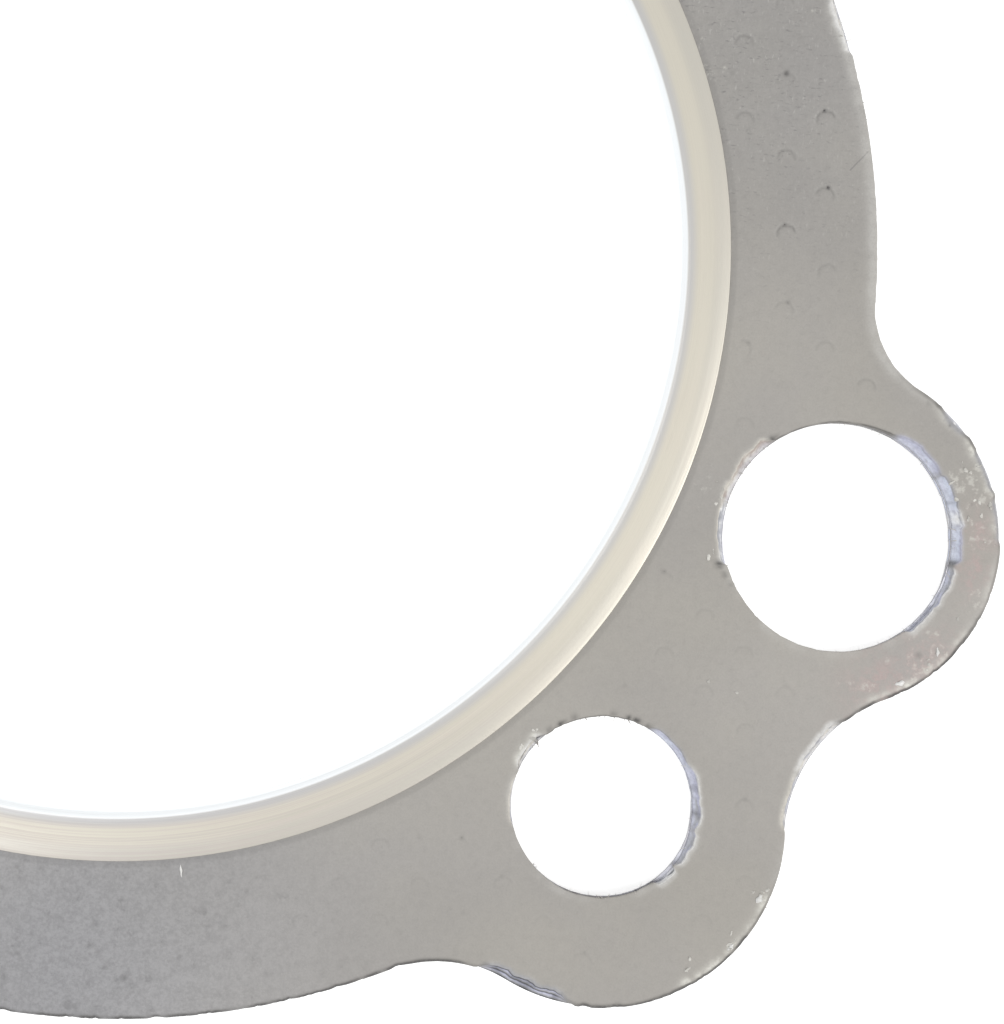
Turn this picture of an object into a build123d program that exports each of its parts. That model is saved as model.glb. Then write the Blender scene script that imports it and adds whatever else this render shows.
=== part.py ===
from build123d import *
import os
from math import atan2, cos, degrees, hypot, radians, sin, sqrt, tan

# Cylinder head gasket for one air-cooled barrel: two soft composite facings on a pierced steel
# core, with a U-section steel fire ring folded over the facings round the bore.
# Millimetres, +Z up. The origin is on the bore axis, on the plane that the fire ring rests on.

# Fire ring
ring_bore_radius = 44.7
ring_rim_radius = 48.76
ring_gauge = 0.2
ring_height = 1.7
fold_radius = 0.6  # outside of the fold at the bore
fold_flats = 2
shoulder_radius = 47.6  # from here out the flange thins down to its rim
shoulder_angle = 6
trough_width = 0.3  # dip in the facing just outside the rim

# Sheets
core_thickness = 0.2
facing_thickness = 0.65
rolled_edge = 0.3  # blanking rolls the upper facing's outer edge over

# Holes
stud_circle_radius = 58.85
stud_hole_radius = 7.25
drain_offset = (58.85, -18.83)
drain_hole_radius = 9.17

# Outline: arcs about the bore, ears round the holes, and hollow blends between them
body_end_radius = 61.4
body_side_radius = 60.5
stud_ear_offset = (41.72, 43.0)
stud_ear_radius = 14.63
drain_ear_offset = (57.98, -18.78)
drain_ear_radius = 13.83
end_blend_radius = 10.56
ear_blend_radius = 12.24
drain_blend_radius = 7.73

# Staggered piercings of the core, in rows that run askew to the outline
piercing_radius = 0.8  # three-cornered
piercing_pitch = (6.44, 6.08)
piercing_start = (55.82, 8.44)
piercing_askew = 4.15
piercing_margin = 3.4  # least distance from a piercing's centre to an edge
piercing_columns = 40  # enough to cover the sheet leftwards from the start
piercing_rows = 14  # on each side of the start

middle_height = ring_height / 2
sheet_bore_radius = ring_bore_radius + fold_radius  # the sheets stop where the fold begins
stud_offset = stud_circle_radius / sqrt(2)
stud_centres = [(x, y) for x in (-stud_offset, stud_offset) for y in (-stud_offset, stud_offset)]
drain_centres = [(side * drain_offset[0], drain_offset[1]) for side in (-1, 1)]


def bearing(start, end):
    return degrees(atan2(end[1] - start[1], end[0] - start[0]))


# Centre of the hollow blend that touches two bulges of the outline, met anticlockwise.
def blend_centre(first, first_radius, second, second_radius, blend_radius):
    span = hypot(second[0] - first[0], second[1] - first[1])
    forward_x = (second[0] - first[0]) / span
    forward_y = (second[1] - first[1]) / span
    first_reach = first_radius + blend_radius
    second_reach = second_radius + blend_radius
    along = (first_reach**2 - second_reach**2 + span**2) / (2 * span)
    outward = sqrt(first_reach**2 - along**2)
    x = first[0] + along * forward_x + outward * forward_y
    y = first[1] + along * forward_y - outward * forward_x
    return (x, y)


# Right-hand half of the outline, anticlockwise from its lowest point to its highest.
def half_outline():
    middle = (0, 0)
    ear_x, ear_y = stud_ear_offset
    bulges = [
        (middle, body_end_radius),
        ((ear_x, -ear_y), stud_ear_radius),
        (drain_ear_offset, drain_ear_radius),
        (middle, body_side_radius),
        ((ear_x, ear_y), stud_ear_radius),
        (middle, body_end_radius),
    ]
    blends = [end_blend_radius, ear_blend_radius, drain_blend_radius, ear_blend_radius, end_blend_radius]

    arcs = []
    start_angle = -90
    for first, second, blend_radius in zip(bulges, bulges[1:], blends):
        centre = blend_centre(*first, *second, blend_radius)
        leave_angle = bearing(first[0], centre)
        join_angle = bearing(second[0], centre)
        arcs.append(CenterArc(*first, start_angle, (leave_angle - start_angle) % 360))
        arcs.append(CenterArc(centre, blend_radius, leave_angle + 180, -((leave_angle - join_angle) % 360)))
        start_angle = join_angle
    arcs.append(CenterArc(middle, body_end_radius, start_angle, 90 - start_angle))
    return arcs


# The flat shape that all three sheets are blanked to.
def blank():
    right = half_outline()
    left = [mirror(arc, about=Plane.YZ) for arc in right]
    sheet = make_face(right + left) - Circle(sheet_bore_radius)
    sheet -= [Pos(*centre) * Circle(stud_hole_radius) for centre in stud_centres]
    sheet -= [Pos(*centre) * Circle(drain_hole_radius) for centre in drain_centres]
    return sheet


# Corners of the outer skin of the ring's upper half, from its wall at the bore out to the rim.
# Equal flats stand in for the round fold, and the flange is coined thinner towards its rim.
def outer_skin():
    fold_x = ring_bore_radius + fold_radius
    fold_y = middle_height - fold_radius
    turns = [radians(90) * flat / fold_flats for flat in range(fold_flats + 1)]
    fold = [(fold_x - fold_radius * cos(turn), fold_y + fold_radius * sin(turn)) for turn in turns]
    rim_drop = (ring_rim_radius - shoulder_radius) * tan(radians(shoulder_angle))
    return fold + [(shoulder_radius, middle_height), (ring_rim_radius, middle_height - rim_drop)]


# Corners of the skin that clamps the facing, from the rim back to the wall at the bore.
def inner_skin():
    flat_y = middle_height - ring_gauge
    wall_x = ring_bore_radius + ring_gauge
    return [(ring_rim_radius, flat_y), (sheet_bore_radius, flat_y), (wall_x, middle_height - fold_radius)]


def fire_ring():
    upper = outer_skin() + inner_skin()
    lower = [(x, -y) for x, y in reversed(upper)]
    section = Polyline(*upper, *lower, close=True)
    return revolve(Plane.XZ * make_face(section), Axis.Z)


# What the ring presses out of a facing: all that lies above the flange, and a trough outside it.
def ring_seat():
    seat_y = middle_height - ring_gauge
    face_y = core_thickness / 2 + facing_thickness
    rim = [(ring_rim_radius, seat_y), (ring_rim_radius + trough_width, face_y)]
    section = Polyline((0, seat_y), *rim, (rim[1][0], ring_height), (0, ring_height), close=True)
    return revolve(Plane.XZ * make_face(section), Axis.Z)


# A facing above the middle of the gasket, its outer edge eased where blanking rolled it over.
def facing(edge_ease):
    sheet = extrude(blank(), facing_thickness)
    if edge_ease > 0:
        upper_face = sheet.faces().sort_by(Axis.Z)[-1]
        sheet = chamfer(upper_face.outer_wire().edges(), edge_ease)
    return Pos(0, 0, core_thickness / 2) * sheet - ring_seat()


# Places of the piercings that keep their margin from every edge of the sheet.
def piercing_places(sheet):
    rim = Compound(sheet.edges())
    start = Pos(*piercing_start) * Rot(0, 0, piercing_askew)
    places = []
    for column in range(-piercing_columns, piercing_columns // 4):
        for row in range(-piercing_rows, piercing_rows):
            stagger = 0.5 * (column % 2)
            shift = Pos(0.5 * column * piercing_pitch[0], (row + stagger) * piercing_pitch[1])
            place = start * shift
            inside = sheet.is_inside(place.position)
            if inside and rim.distance_to(place.position) > piercing_margin:
                places.append(place)
    return places


def steel_core():
    sheet = blank().face()
    piercing = RegularPolygon(piercing_radius, 3)
    piercings = [(place * piercing).wire() for place in piercing_places(sheet)]
    pierced = Face(sheet.outer_wire(), sheet.inner_wires() + piercings)
    return Pos(0, 0, -core_thickness / 2) * Solid.extrude(pierced, (0, 0, core_thickness))


pieces = {
    "fire_ring": fire_ring(),
    "facing_top": facing(rolled_edge),
    "facing_bottom": mirror(facing(0), about=Plane.XY),
    "steel_core": steel_core(),
}

os.makedirs("parts", exist_ok=True)
for name, piece in pieces.items():
    export_step(Pos(0, 0, middle_height) * piece, f"parts/{name}.step")
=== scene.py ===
import math

import bmesh
import bpy
import numpy as np
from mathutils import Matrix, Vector, kdtree, noise
from mathutils.geometry import delaunay_2d_cdt


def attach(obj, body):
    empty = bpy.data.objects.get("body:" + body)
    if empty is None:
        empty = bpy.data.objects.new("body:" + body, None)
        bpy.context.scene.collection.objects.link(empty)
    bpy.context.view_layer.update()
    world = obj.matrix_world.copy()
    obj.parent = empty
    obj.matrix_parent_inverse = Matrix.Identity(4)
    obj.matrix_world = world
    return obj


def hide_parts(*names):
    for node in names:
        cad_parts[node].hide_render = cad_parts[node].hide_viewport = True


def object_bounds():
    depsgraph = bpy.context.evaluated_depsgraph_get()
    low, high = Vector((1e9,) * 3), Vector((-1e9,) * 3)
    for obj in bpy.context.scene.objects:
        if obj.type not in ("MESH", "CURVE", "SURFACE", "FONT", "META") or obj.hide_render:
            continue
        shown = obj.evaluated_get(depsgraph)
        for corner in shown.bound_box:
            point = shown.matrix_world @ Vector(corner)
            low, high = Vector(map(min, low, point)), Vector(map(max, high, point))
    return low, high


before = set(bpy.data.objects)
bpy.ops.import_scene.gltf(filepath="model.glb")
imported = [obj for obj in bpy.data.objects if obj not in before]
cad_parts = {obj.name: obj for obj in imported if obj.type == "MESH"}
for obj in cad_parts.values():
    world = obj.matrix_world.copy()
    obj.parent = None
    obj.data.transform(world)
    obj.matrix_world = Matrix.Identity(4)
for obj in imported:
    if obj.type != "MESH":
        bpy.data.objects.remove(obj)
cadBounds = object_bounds()
mm = 0.001

# The gasket lies flat: its bore is on the Z axis, and the fire ring rests on the floor.
# Lengths in the dictionaries are in millimetres and angles in degrees, unless a note says otherwise.

# Outline, holes and layers
plate = {
    "bodyEndRadius": 61.4,
    "bodySideRadius": 60.5,
    "studEarPlace": (41.72, 43.0),
    "studEarRadius": 14.63,
    "drainEarPlace": (57.98, -18.78),
    "drainEarRadius": 13.83,
    "blendRadii": (10.56, 12.24, 7.73, 12.24, 10.56),  # from the lowest point round to the highest
    "studHolePlace": (41.613, 41.613),
    "studHoleRadius": 7.25,
    "drainHolePlace": (58.85, -18.83),
    "drainHoleRadius": 9.17,
    "coreLow": 0.75,  # underside and top of the steel core
    "coreHigh": 0.95,
    "facingDepth": 0.65,
}
topFace = plate["coreHigh"] + plate["facingDepth"]


def blendCentre(first, firstRadius, second, secondRadius, blendRadius):
    span = math.dist(first, second)
    alongX = (second[0] - first[0]) / span
    alongY = (second[1] - first[1]) / span
    firstReach = firstRadius + blendRadius
    secondReach = secondRadius + blendRadius
    along = (firstReach**2 - secondReach**2 + span**2) / (2 * span)
    outward = math.sqrt(firstReach**2 - along**2)
    return (first[0] + along * alongX + outward * alongY, first[1] + along * alongY - outward * alongX)


# Arcs of the outer edge, anticlockwise from the lowest point: centre, radius, start and sweep in degrees
def rimArcs():
    middle = (0.0, 0.0)
    earX, earY = plate["studEarPlace"]
    bulges = [
        (middle, plate["bodyEndRadius"]),
        ((earX, -earY), plate["studEarRadius"]),
        (plate["drainEarPlace"], plate["drainEarRadius"]),
        (middle, plate["bodySideRadius"]),
        ((earX, earY), plate["studEarRadius"]),
        (middle, plate["bodyEndRadius"]),
    ]
    arcs = []
    startAngle = -90.0
    for first, second, blendRadius in zip(bulges, bulges[1:], plate["blendRadii"]):
        centre = blendCentre(*first, *second, blendRadius)
        leave = math.degrees(math.atan2(centre[1] - first[0][1], centre[0] - first[0][0]))
        join = math.degrees(math.atan2(centre[1] - second[0][1], centre[0] - second[0][0]))
        arcs.append((*first, startAngle, (leave - startAngle) % 360))
        arcs.append((centre, blendRadius, leave + 180, -((leave - join) % 360)))
        startAngle = join
    arcs.append((middle, plate["bodyEndRadius"], startAngle, 90 - startAngle))
    mirrored = [((-c[0], c[1]), r, 180 - (a + sweep), sweep) for c, r, a, sweep in reversed(arcs)]
    return arcs + mirrored


# Points along arcs, and at each the direction that leads out of the sheet
def alongArcs(arcs, spacing, hole=False):
    points, outward = [], []
    for centre, radius, start, sweep in arcs:
        steps = max(2, math.ceil(abs(math.radians(sweep)) * radius / spacing))
        for step in range(steps):
            angle = math.radians(start + sweep * step / steps)
            direction = np.array((math.cos(angle), math.sin(angle)))
            points.append(np.array(centre) + radius * direction)
            outward.append(-direction if hole != (sweep < 0) else direction)
    return np.array(points), np.array(outward)


# The rim and then each hole: points, outward directions and kind
def plateEdges(spacing):
    studX, studY = plate["studHolePlace"]
    drainX, drainY = plate["drainHolePlace"]
    holes = [((sx * studX, sy * studY), plate["studHoleRadius"]) for sx in (1, -1) for sy in (1, -1)]
    holes += [((sx * drainX, drainY), plate["drainHoleRadius"]) for sx in (1, -1)]
    edges = [(*alongArcs(rimArcs(), spacing), "rim")]
    for centre, radius in holes:
        edges.append((*alongArcs([(centre, radius, 0, 360)], spacing, hole=True), "hole"))
    return edges


def noiseAt(points, size, seed=0.0, octaves=3):
    out = np.empty(len(points))
    for i, p in enumerate(points):
        spot = (p[0] / size + seed, p[1] / size - seed, (p[2] / size if len(p) > 2 else 0) + seed * 0.37)
        out[i] = noise.fractal(spot, 1.0, 2.0, octaves)
    return out


def smooth(low, high, value):
    t = np.clip((value - low) / (high - low), 0, 1)
    return t * t * (3 - 2 * t)


def distanceTo(place, points):
    return np.hypot(points[:, 0] - place[0], points[:, 1] - place[1])


# At each point the strongest of some spots that fade out round their places
def nearness(points, spots):
    tone = np.zeros(len(points))
    for place, size, strength in spots:
        tone = np.maximum(tone, strength * np.exp(-((distanceTo(place, points) / size) ** 2)))
    return tone


def addObject(name, data):
    made = bpy.data.objects.new(name, data)
    bpy.context.scene.collection.objects.link(made)
    return made


def newObject(name, vertices, faces, material, flat=False):
    mesh = bpy.data.meshes.new(name)
    mesh.from_pydata([tuple(v) for v in vertices], [], faces)
    mesh.validate()
    build = bmesh.new()
    build.from_mesh(mesh)
    bmesh.ops.recalc_face_normals(build, faces=build.faces)
    for face in build.faces:
        face.smooth = not flat
    build.to_mesh(mesh)
    build.free()
    mesh.materials.append(material)
    return addObject(name, mesh)


# Corners of closed loops, and pairs of corners that bound them
def loopEdges(loops, vertices):
    corners = np.array([vertices[i][:2] for loop in loops for i in loop])
    bounds, start = [], 0
    for loop in loops:
        bounds += [(start + i, start + (i + 1) % len(loop)) for i in range(len(loop))]
        start += len(loop)
    return corners, np.array(bounds)


def makeTree(points):
    tree = kdtree.KDTree(len(points))
    for i, point in enumerate(points):
        tree.insert((*point, 0), i)
    tree.balance()
    return tree


# Gives a function that tells how far a point lies inside the sheet, below zero outside it
def makeEdgeFinder(spacing):
    edges = plateEdges(spacing)
    points = np.vstack([edge[0] for edge in edges])
    outward = np.vstack([edge[1] for edge in edges])
    tree = makeTree(points)

    def inward(x, y):
        spot, index, distance = tree.find((x, y, 0))
        beyond = (x - spot[0]) * outward[index][0] + (y - spot[1]) * outward[index][1]
        return distance if beyond < 0 else -distance

    return inward


inwardAt = makeEdgeFinder(0.2)


# True for each point that lies inside the outer loop and outside the holes, by counting crossings
def insideLoops(points, corners, edges):
    first, second = corners[edges[:, 0]], corners[edges[:, 1]]
    rise = second[:, 1] - first[:, 1]
    rise[rise == 0] = 1e-12
    result = np.zeros(len(points), bool)
    for start in range(0, len(points), 1000):  # a thousand at a time, to spare memory
        x, y = points[start : start + 1000, :1], points[start : start + 1000, 1:]
        spans = (first[:, 1] > y) != (second[:, 1] > y)
        crossing = first[:, 0] + (y - first[:, 1]) / rise * (second[:, 0] - first[:, 0])
        result[start : start + 1000] = (spans & (x < crossing)).sum(axis=1) % 2 == 1
    return result


# Marks where the core's lanced tangs show through the facing, and the dots where their tips break it
tangGrid = {
    "pitch": (6.44, 6.08),
    "start": (55.82, 8.44),
    "askew": 4.15,
    "columns": (-42, 12),
    "rows": (-15, 15),
    "margin": 1.9,  # least distance to an edge
    "innerRadius": 50.3,  # the fire ring covers the sheet inside this
    "wander": 0.05,
    "strength": (0.85, 0.3),  # of a mark: mean and spread
    "strongest": 1.3,
    "dotShare": 0.45,  # of the marks that have a dot
    "dots": (0.4, 1.0),  # faintest and darkest
    "lean": 14,
    "clearPlace": (54.0, 14.0),  # the tangs show best round here
    "clearReach": 17.0,
    "faint": 0.24,  # what is left of them elsewhere
    "fadedDots": 0.8,  # share of the dots that fade in the same way
    "plainDot": 0.5,  # what is left of the others
    "seed": 11,
}

# Shape of one mark: a low dome with a crescent groove, a ridge outside that and a pit at the dot
markShape = {
    "sink": 0.30,  # of the crescent's centre below the middle of the mark
    "dotPlace": (0.05, 0.45),
    "domeRise": 0.016,
    "grooveRadius": 0.70,
    "grooveWidth": 0.11,
    "grooveDepth": 0.034,
    "ridgeRadius": 0.88,
    "ridgeWidth": 0.10,
    "ridgeRise": 0.008,
    "pitRadius": 0.15,
    "pitDepth": 0.07,
    "squash": 1.05,
    "crownBlend": (-0.35, 0.25),  # the crescent fades out from its top to its sides
    "domeBlend": (0.8, 0.2),
    # painted shade in the crescent groove, and the dark tone of the dot
    "grooveShade": 0.42,
    "pitSoot": 0.95,
    "ridgeWear": 0.16,
    "fineSize": 2.7,  # of the finer grid of the face on a mark
    "fineReach": 1.13,
    "plainReach": 1.2,  # the plain grid keeps this far from it
    "reach": 1.25,
}


def tangPlaces():
    grid = tangGrid
    random = np.random.default_rng(grid["seed"])
    turn = math.radians(grid["askew"])
    places = []
    for column in range(*grid["columns"]):
        for row in range(*grid["rows"]):
            x = 0.5 * column * grid["pitch"][0]
            y = (row + 0.5 * (column % 2)) * grid["pitch"][1]
            px = grid["start"][0] + x * math.cos(turn) - y * math.sin(turn)
            py = grid["start"][1] + x * math.sin(turn) + y * math.cos(turn)
            point = np.array((px, py)) + random.normal(0, grid["wander"], 2)
            strength = float(np.clip(random.normal(*grid["strength"]), 0, grid["strongest"]))
            dot = float(random.random() < grid["dotShare"]) * random.uniform(*grid["dots"])
            lean = random.normal(0, grid["lean"])
            away = math.dist((px, py), grid["clearPlace"]) / grid["clearReach"]
            clear = grid["faint"] + (1 - grid["faint"]) * math.exp(-(away**2))
            strength *= clear
            dot *= clear if random.random() < grid["fadedDots"] else grid["plainDot"]
            if math.hypot(px, py) > grid["innerRadius"] and inwardAt(px, py) > grid["margin"]:
                places.append((point, strength, dot, turn + math.radians(lean)))
    return places


tangMarks = tangPlaces()
print("tang marks placed:", len(tangMarks))

# The two facings. A facing's edges are rows of points: the face, the lip that blanking rolled, and the wall.
facingTopLook = {
    "edgeSpacing": 0.26,
    "gridSpacing": 0.47,
    "markSpacing": 0.18,
    "rimRoll": 0.30,  # how far blanking rolled the outer edge over
    "holeRoll": 0.10,
    "overhang": 0.15,  # of the face past the edge, on each hole's side towards -Y
    "flare": 0.24,  # how far the wall draws back at the core there
    "roughness": 0.035,  # of the sheared walls
    "mottle": 0.007,
    "seed": 3.7,
}

facingBottomLook = {
    "edgeSpacing": 0.36,
    "gridSpacing": 0.62,
    "markSpacing": 0.22,
    "rimRoll": 0.12,
    "holeRoll": 0.16,
    "overhang": -0.32,  # below zero, so it draws back at the underside
    "flare": 0.0,
    "roughness": 0.045,
    "mottle": 0.007,
    "seed": 9.1,
}

# What the two facings share
edgeShape = {
    "faceSteps": (0.85, 0.6, 0.4, 0.24, 0.12),  # how far in from the lip each row of the face lies
    "lastFaceTint": 0.12,  # share of a tear's tone on the last of them
    # rows of the lip: turn, share of the painted shade and grime, and share of a tear's tone
    "lipRows": ((0, 0.2, 0.35), (22, 0.85, 0.75), (45, 1.0, 0.75), (67, 1.0, 0.75), (90, 1.0, 0.75)),
    "lipDepth": 0.34,  # the most that the lip rolls down
    "lipWaver": 0.25,
    "lipShade": 0.40,  # least painted shade and grime on a dark side's lip
    "easing": 1.6,  # length of edge over which a tear fades into the open face
    "easedBack": 0.04,  # how far even a plain edge draws back, at the open face and at the lip
    "leastBack": 0.01,
    "raggedSizes": (1.1, 0.35),  # coarse and fine
    "coarseRagged": 1.6,  # how much stronger the coarse one is
    "tornRagged": 0.24,
    "tearCurve": 0.8,  # below one, a tear's wall is hollow
    "wallRagged": 1.5,
    "wornReach": 0.28,  # how far plain wear reaches over the face
    "litReach": 0.16,  # how much farther it reaches where the edge has painted light and where it has painted highlights
    # how far the painted highlight strips reach over the face
    "glintReach": 0.36,
    "litEdge": 0.52,  # strength of the painted light on the outer edge where it faces +X
    "darkWall": 0.8,  # painted shade and grime on a dark side's wall
    "darkCore": 0.5,  # painted shade next to the core, all round
    "footLight": 0.45,  # the foot of a tear catches more light
    "sheetSize": (146, 126),
    "rowStep": 0.866,  # between the grid's rows, as a share of its pitch
    "edgeGap": 0.25,  # left between the grid and the edge rows
    "nearEdge": 2.6,  # points of the open face nearer than this are tested against the edge rows
    "sootDip": 0.06,
}

# How an edge changes with the way it faces: where each look starts and where it is full
edgeSides = {
    "rimShade": (0.1, 0.6),  # painted shade: the outer edge is darker where it faces -Y
    "endDark": (66.0, 69.0),  # and from here out in X
    "endShare": 0.4,
    "rimLit": (0.0, 0.7),  # painted light: the outer edge is paler where it faces +X
    "paleTilt": 0.5,  # and this much towards +Y
    "paleFrom": (-10.0, -4.0),  # from here up in Y
    # painted shade on a hole's edges that face -Y
    "holeShade": (0.3, 0.9),
    "holeShare": 0.75,
    "parted": (0.0, 0.7),  # on a hole's side towards -Y, face and wall part
    "paleLip": 0.5,  # how much wider the lip is on pale and on dark sides
    "darkLip": 0.25,
    "darkRagged": 1.2,  # how much more ragged dark sides and the ragged places are
    "placesRagged": 2.0,
    "tornClean": 0.8,  # share of the graphite that a tear takes away
}

# How wear, grime, painted shade, painted light and painted highlights come and go along the edges: mean,
# swing, size, seed, octaves, least and most
patchiness = {
    "glint": (0.75, 0.9, 0.6, 73.0, 2, 0.2, 1.0),
    "grime": (0.55, 1.1, 1.3, 71.0, 2, 0.0, 1.0),
    "wear": (0.12, 0.5, 2.2, 41.0, 3, 0.0, 0.6),
    "litEdgePatches": (0.85, 0.4, 1.0, 72.0, 3, 0.4, 1.0),
}

# Rows of the seat that the fire ring presses: radius, drop below the face, waviness and painted shade, a
# contact shadow just outside the ring
seatRows = (
    (50.0, 0.0, 0.0, 0.0),
    (49.6, 0.002, 0.0, 0.0),
    (49.35, 0.008, 0.06, 0.0),
    (49.15, 0.025, 0.06, 0.12),
    (49.0, 0.05, 0.06, 0.12),
    (48.88, 0.08, 0.0, 0.12),
    (48.72, 0.101, 0.0, 0.0),
    (45.31, 0.101, 0.0, 0.0),
    (45.31, 0.65, 0.0, 0.0),
)
seatSpacing = 0.4

# Tones of torn, scuffed and sooted places; lavender, ice and foot are partly the torn fibre's pale tone,
# partly painted bluish light on the torn walls
tearTones = {
    "lavender": (0.55, 0.555, 0.68),
    "ice": (0.68, 0.715, 0.83),
    "bone": (0.70, 0.665, 0.60),
    "rust": (0.46, 0.385, 0.35),
    "ash": (0.42, 0.42, 0.445),
    "white": (0.90, 0.89, 0.87),
    "foot": (0.80, 0.82, 0.90),
    "ink": (0.085, 0.085, 0.09),
}

# Where the punch tore the upper facing back: place, half length along the edge, depth, then the tones of
# the torn slope, of its flecks and of its lip, or "layers" where the plies show. The lower facing's walls
# take the tones alone.
tears = [
    ((64.5, -12.1), 2.8, 0.42, "lavender", "ice", "lavender"),
    ((66.8, -15.0), 2.0, 0.60, "ice", "lavender", "ash"),
    ((67.7, -16.8), 0.9, 0.66, "white", "ash", "white"),
    ((68.0, -18.7), 1.9, 0.54, "ice", "lavender", "lavender"),
    ((67.6, -22.3), 2.3, 0.45, "ash", "lavender", "white"),
    ((66.1, -25.0), 1.9, 0.36, "ash", "ice", "white"),
    ((51.5, -12.8), 2.4, 0.66, "rust", "bone", "bone"),
    ((50.3, -15.5), 1.9, 0.58, "bone", "rust", "bone"),
    ((49.8, -18.7), 2.5, 0.48, "ash", "white", "bone"),
    ((50.1, -20.9), 0.7, 0.40, "white", "ash", "white"),
    ((35.9, -37.7), 1.9, 0.42, "bone", "ink", "white"),
    ((46.8, -36.7), 2.8, 0.40, "lavender", "ice", "ash"),
    ((48.6, -40.3), 3.2, 0.60, "lavender", "ash", "white"),
    ((48.4, -44.3), 1.9, 0.56, "ash", "lavender", "white"),
    ((46.9, -46.5), 1.2, 0.50, "white", "ink", "white"),
    ((34.4, -41.5), 2.4, 0.10, "bone", "ash", "bone"),
    ((56.5, 22.9), 1.8, 0.30, "bone", "ash", "white"),
    ((57.1, 20.9), 1.3, 0.24, "ash", "bone", "white"),
    ((66.8, -9.6), 2.0, 0.26, "ash", "white", "ash"),
    ((69.9, -12.8), 2.2, 0.20, "ash", "white", "ash"),
    ((71.4, -16.5), 2.2, 0.20, "bone", "ash", "ash"),
    ((58.4, -35.8), 3.4, 0.42, "bone", "ash", "white"),
    ((56.6, -39.9), 2.8, 0.30, "ash", "bone", "bone"),
    ((36.5, -56.1), 4.4, 0.80, "layers", "ink", "ink"),
    ((-66.4, -13.8), 3.0, 0.40, "ash", "lavender", "bone"),
    ((-50.6, -23.0), 2.2, 0.36, "bone", "rust", "bone"),
    ((-48.4, -44.0), 2.0, 0.34, "ash", "white", "bone"),
    ((-35.2, 45.0), 1.8, 0.26, "bone", "ash", "bone"),
    ((47.6, 45.4), 2.0, 0.30, "lavender", "ash", "bone"),
    ((-57.6, 20.0), 2.8, 0.30, "bone", "ash", "white"),
    ((-30.0, 53.5), 3.2, 0.45, "layers", "ink", "ink"),
    ((-52.0, -52.5), 2.6, 0.24, "bone", "ash", "ash"),
]

# The plies that show where a tear lays the edge open, from the face down
plyTones = ("ink", "lavender", "ash", "ink", "lavender", "ash", "ink")

# Graphite left in nicks and pits: place, size and depth of tone
sootSpots = [
    ((49.5, -21.6), 0.30, 1.0),
    ((49.6, -20.6), 0.16, 0.7),
    ((50.0, -22.4), 0.22, 0.6),
    ((50.5, -23.1), 0.20, 0.4),
    ((53.0, -11.35), 0.22, 1.0),
    ((53.3, -11.15), 0.16, 0.8),
    ((67.7, -15.4), 0.28, 0.9),
    ((68.0, -20.2), 0.28, 0.9),
    ((35.5, -38.4), 0.25, 0.8),
    ((34.9, -39.2), 0.22, 0.7),
    ((35.9, -36.7), 0.22, 0.9),
    ((37.0, -35.7), 0.26, 0.5),
    ((37.8, -35.2), 0.22, 1.0),
    ((38.1, -35.0), 0.20, 0.8),
    ((38.9, -34.6), 0.30, 0.5),
    ((42.0, -34.1), 0.24, 0.5),
    ((43.2, -34.3), 0.22, 1.0),
    ((43.7, -34.4), 0.20, 1.0),
    ((44.0, -34.5), 0.22, 0.9),
    ((44.8, -34.9), 0.26, 0.7),
    ((48.5, -39.7), 0.22, 0.6),
    ((48.9, -41.6), 0.26, 0.6),
    ((45.8, -47.0), 0.32, 0.9),
    ((33.3, -54.8), 0.26, 0.8),
    ((36.6, -56.5), 0.20, 0.6),
    ((40.6, -57.6), 0.26, 1.0),
    ((44.0, -57.2), 0.22, 0.8),
    ((65.2, -7.7), 0.2, 0.3),
    ((67.0, -9.3), 0.15, 0.5),
    ((65.0, -31.3), 0.30, 0.5),
    ((65.9, -27.6), 0.18, 0.6),
    ((52.0, 17.7), 0.22, 0.9),
    ((1.8, -55.3), 0.24, 0.6),
    ((4.8, -57.7), 0.26, 0.7),
    ((10.6, -52.1), 0.22, 0.6),
    ((-54.0, 9.0), 0.24, 0.7),
    ((-47.0, 31.0), 0.26, 0.6),
]

# Bronze bloom on the facing: place, reach and how much
blooms = [
    ((69.9, -17.6), 2.2, 1.0),
    ((66.6, -28.6), 3.0, 1.0),
    ((63.4, -30.4), 3.0, 1.0),
    ((69.6, -20.6), 2.2, 1.0),
    ((-64.0, -9.0), 2.6, 1.0),
]

# How the open face varies: place, reach, then flecks, granules, scratches and lightness
zones = [
    ((68.8, -14.3), 4.2, 1.0, 0.0, 0.0, 0.0),
    ((70.8, -23.4), 2.6, 1.0, 0.0, 0.0, 0.35),
    ((69.9, -18.4), 2.2, 0.8, 0.0, 0.1, 0.05),
    ((66.2, -9.6), 2.2, 0.6, 0.0, 0.2, 0.0),
    ((66.8, -28.8), 4.0, 1.0, 0.2, 0.0, 0.25),
    ((62.0, -31.0), 3.2, 0.7, 0.0, 0.0, 0.15),
    ((48.7, -14.9), 3.4, 0.55, 0.0, 0.1, 0.0),
    ((59.8, -31.0), 9.0, 0.35, 0.0, 0.1, 0.16),
    ((48.4, -27.7), 7.0, 0.30, 0.0, 0.1, 0.04),
    ((41.4, -52.1), 9.0, 0.0, 0.0, 0.0, -0.10),
    ((55.6, 22.2), 3.4, 0.6, 0.0, 0.5, 0.0),
    ((46.0, 18.3), 2.6, 0.8, 0.0, 0.4, 0.0),
    ((50.5, 20.3), 17.0, 0.2, 0.30, 1.0, -0.42),
    ((-0.5, -57.8), 21.0, 0.0, 1.0, 0.25, -0.20),
    ((-52.0, -30.0), 12.0, 0.4, 0.5, 0.3, 0.2),
    ((-46.0, 30.0), 15.0, 0.3, 0.3, 0.8, -0.3),
    ((4.0, 55.0), 18.0, 0.2, 0.6, 0.5, -0.2),
]

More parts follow.
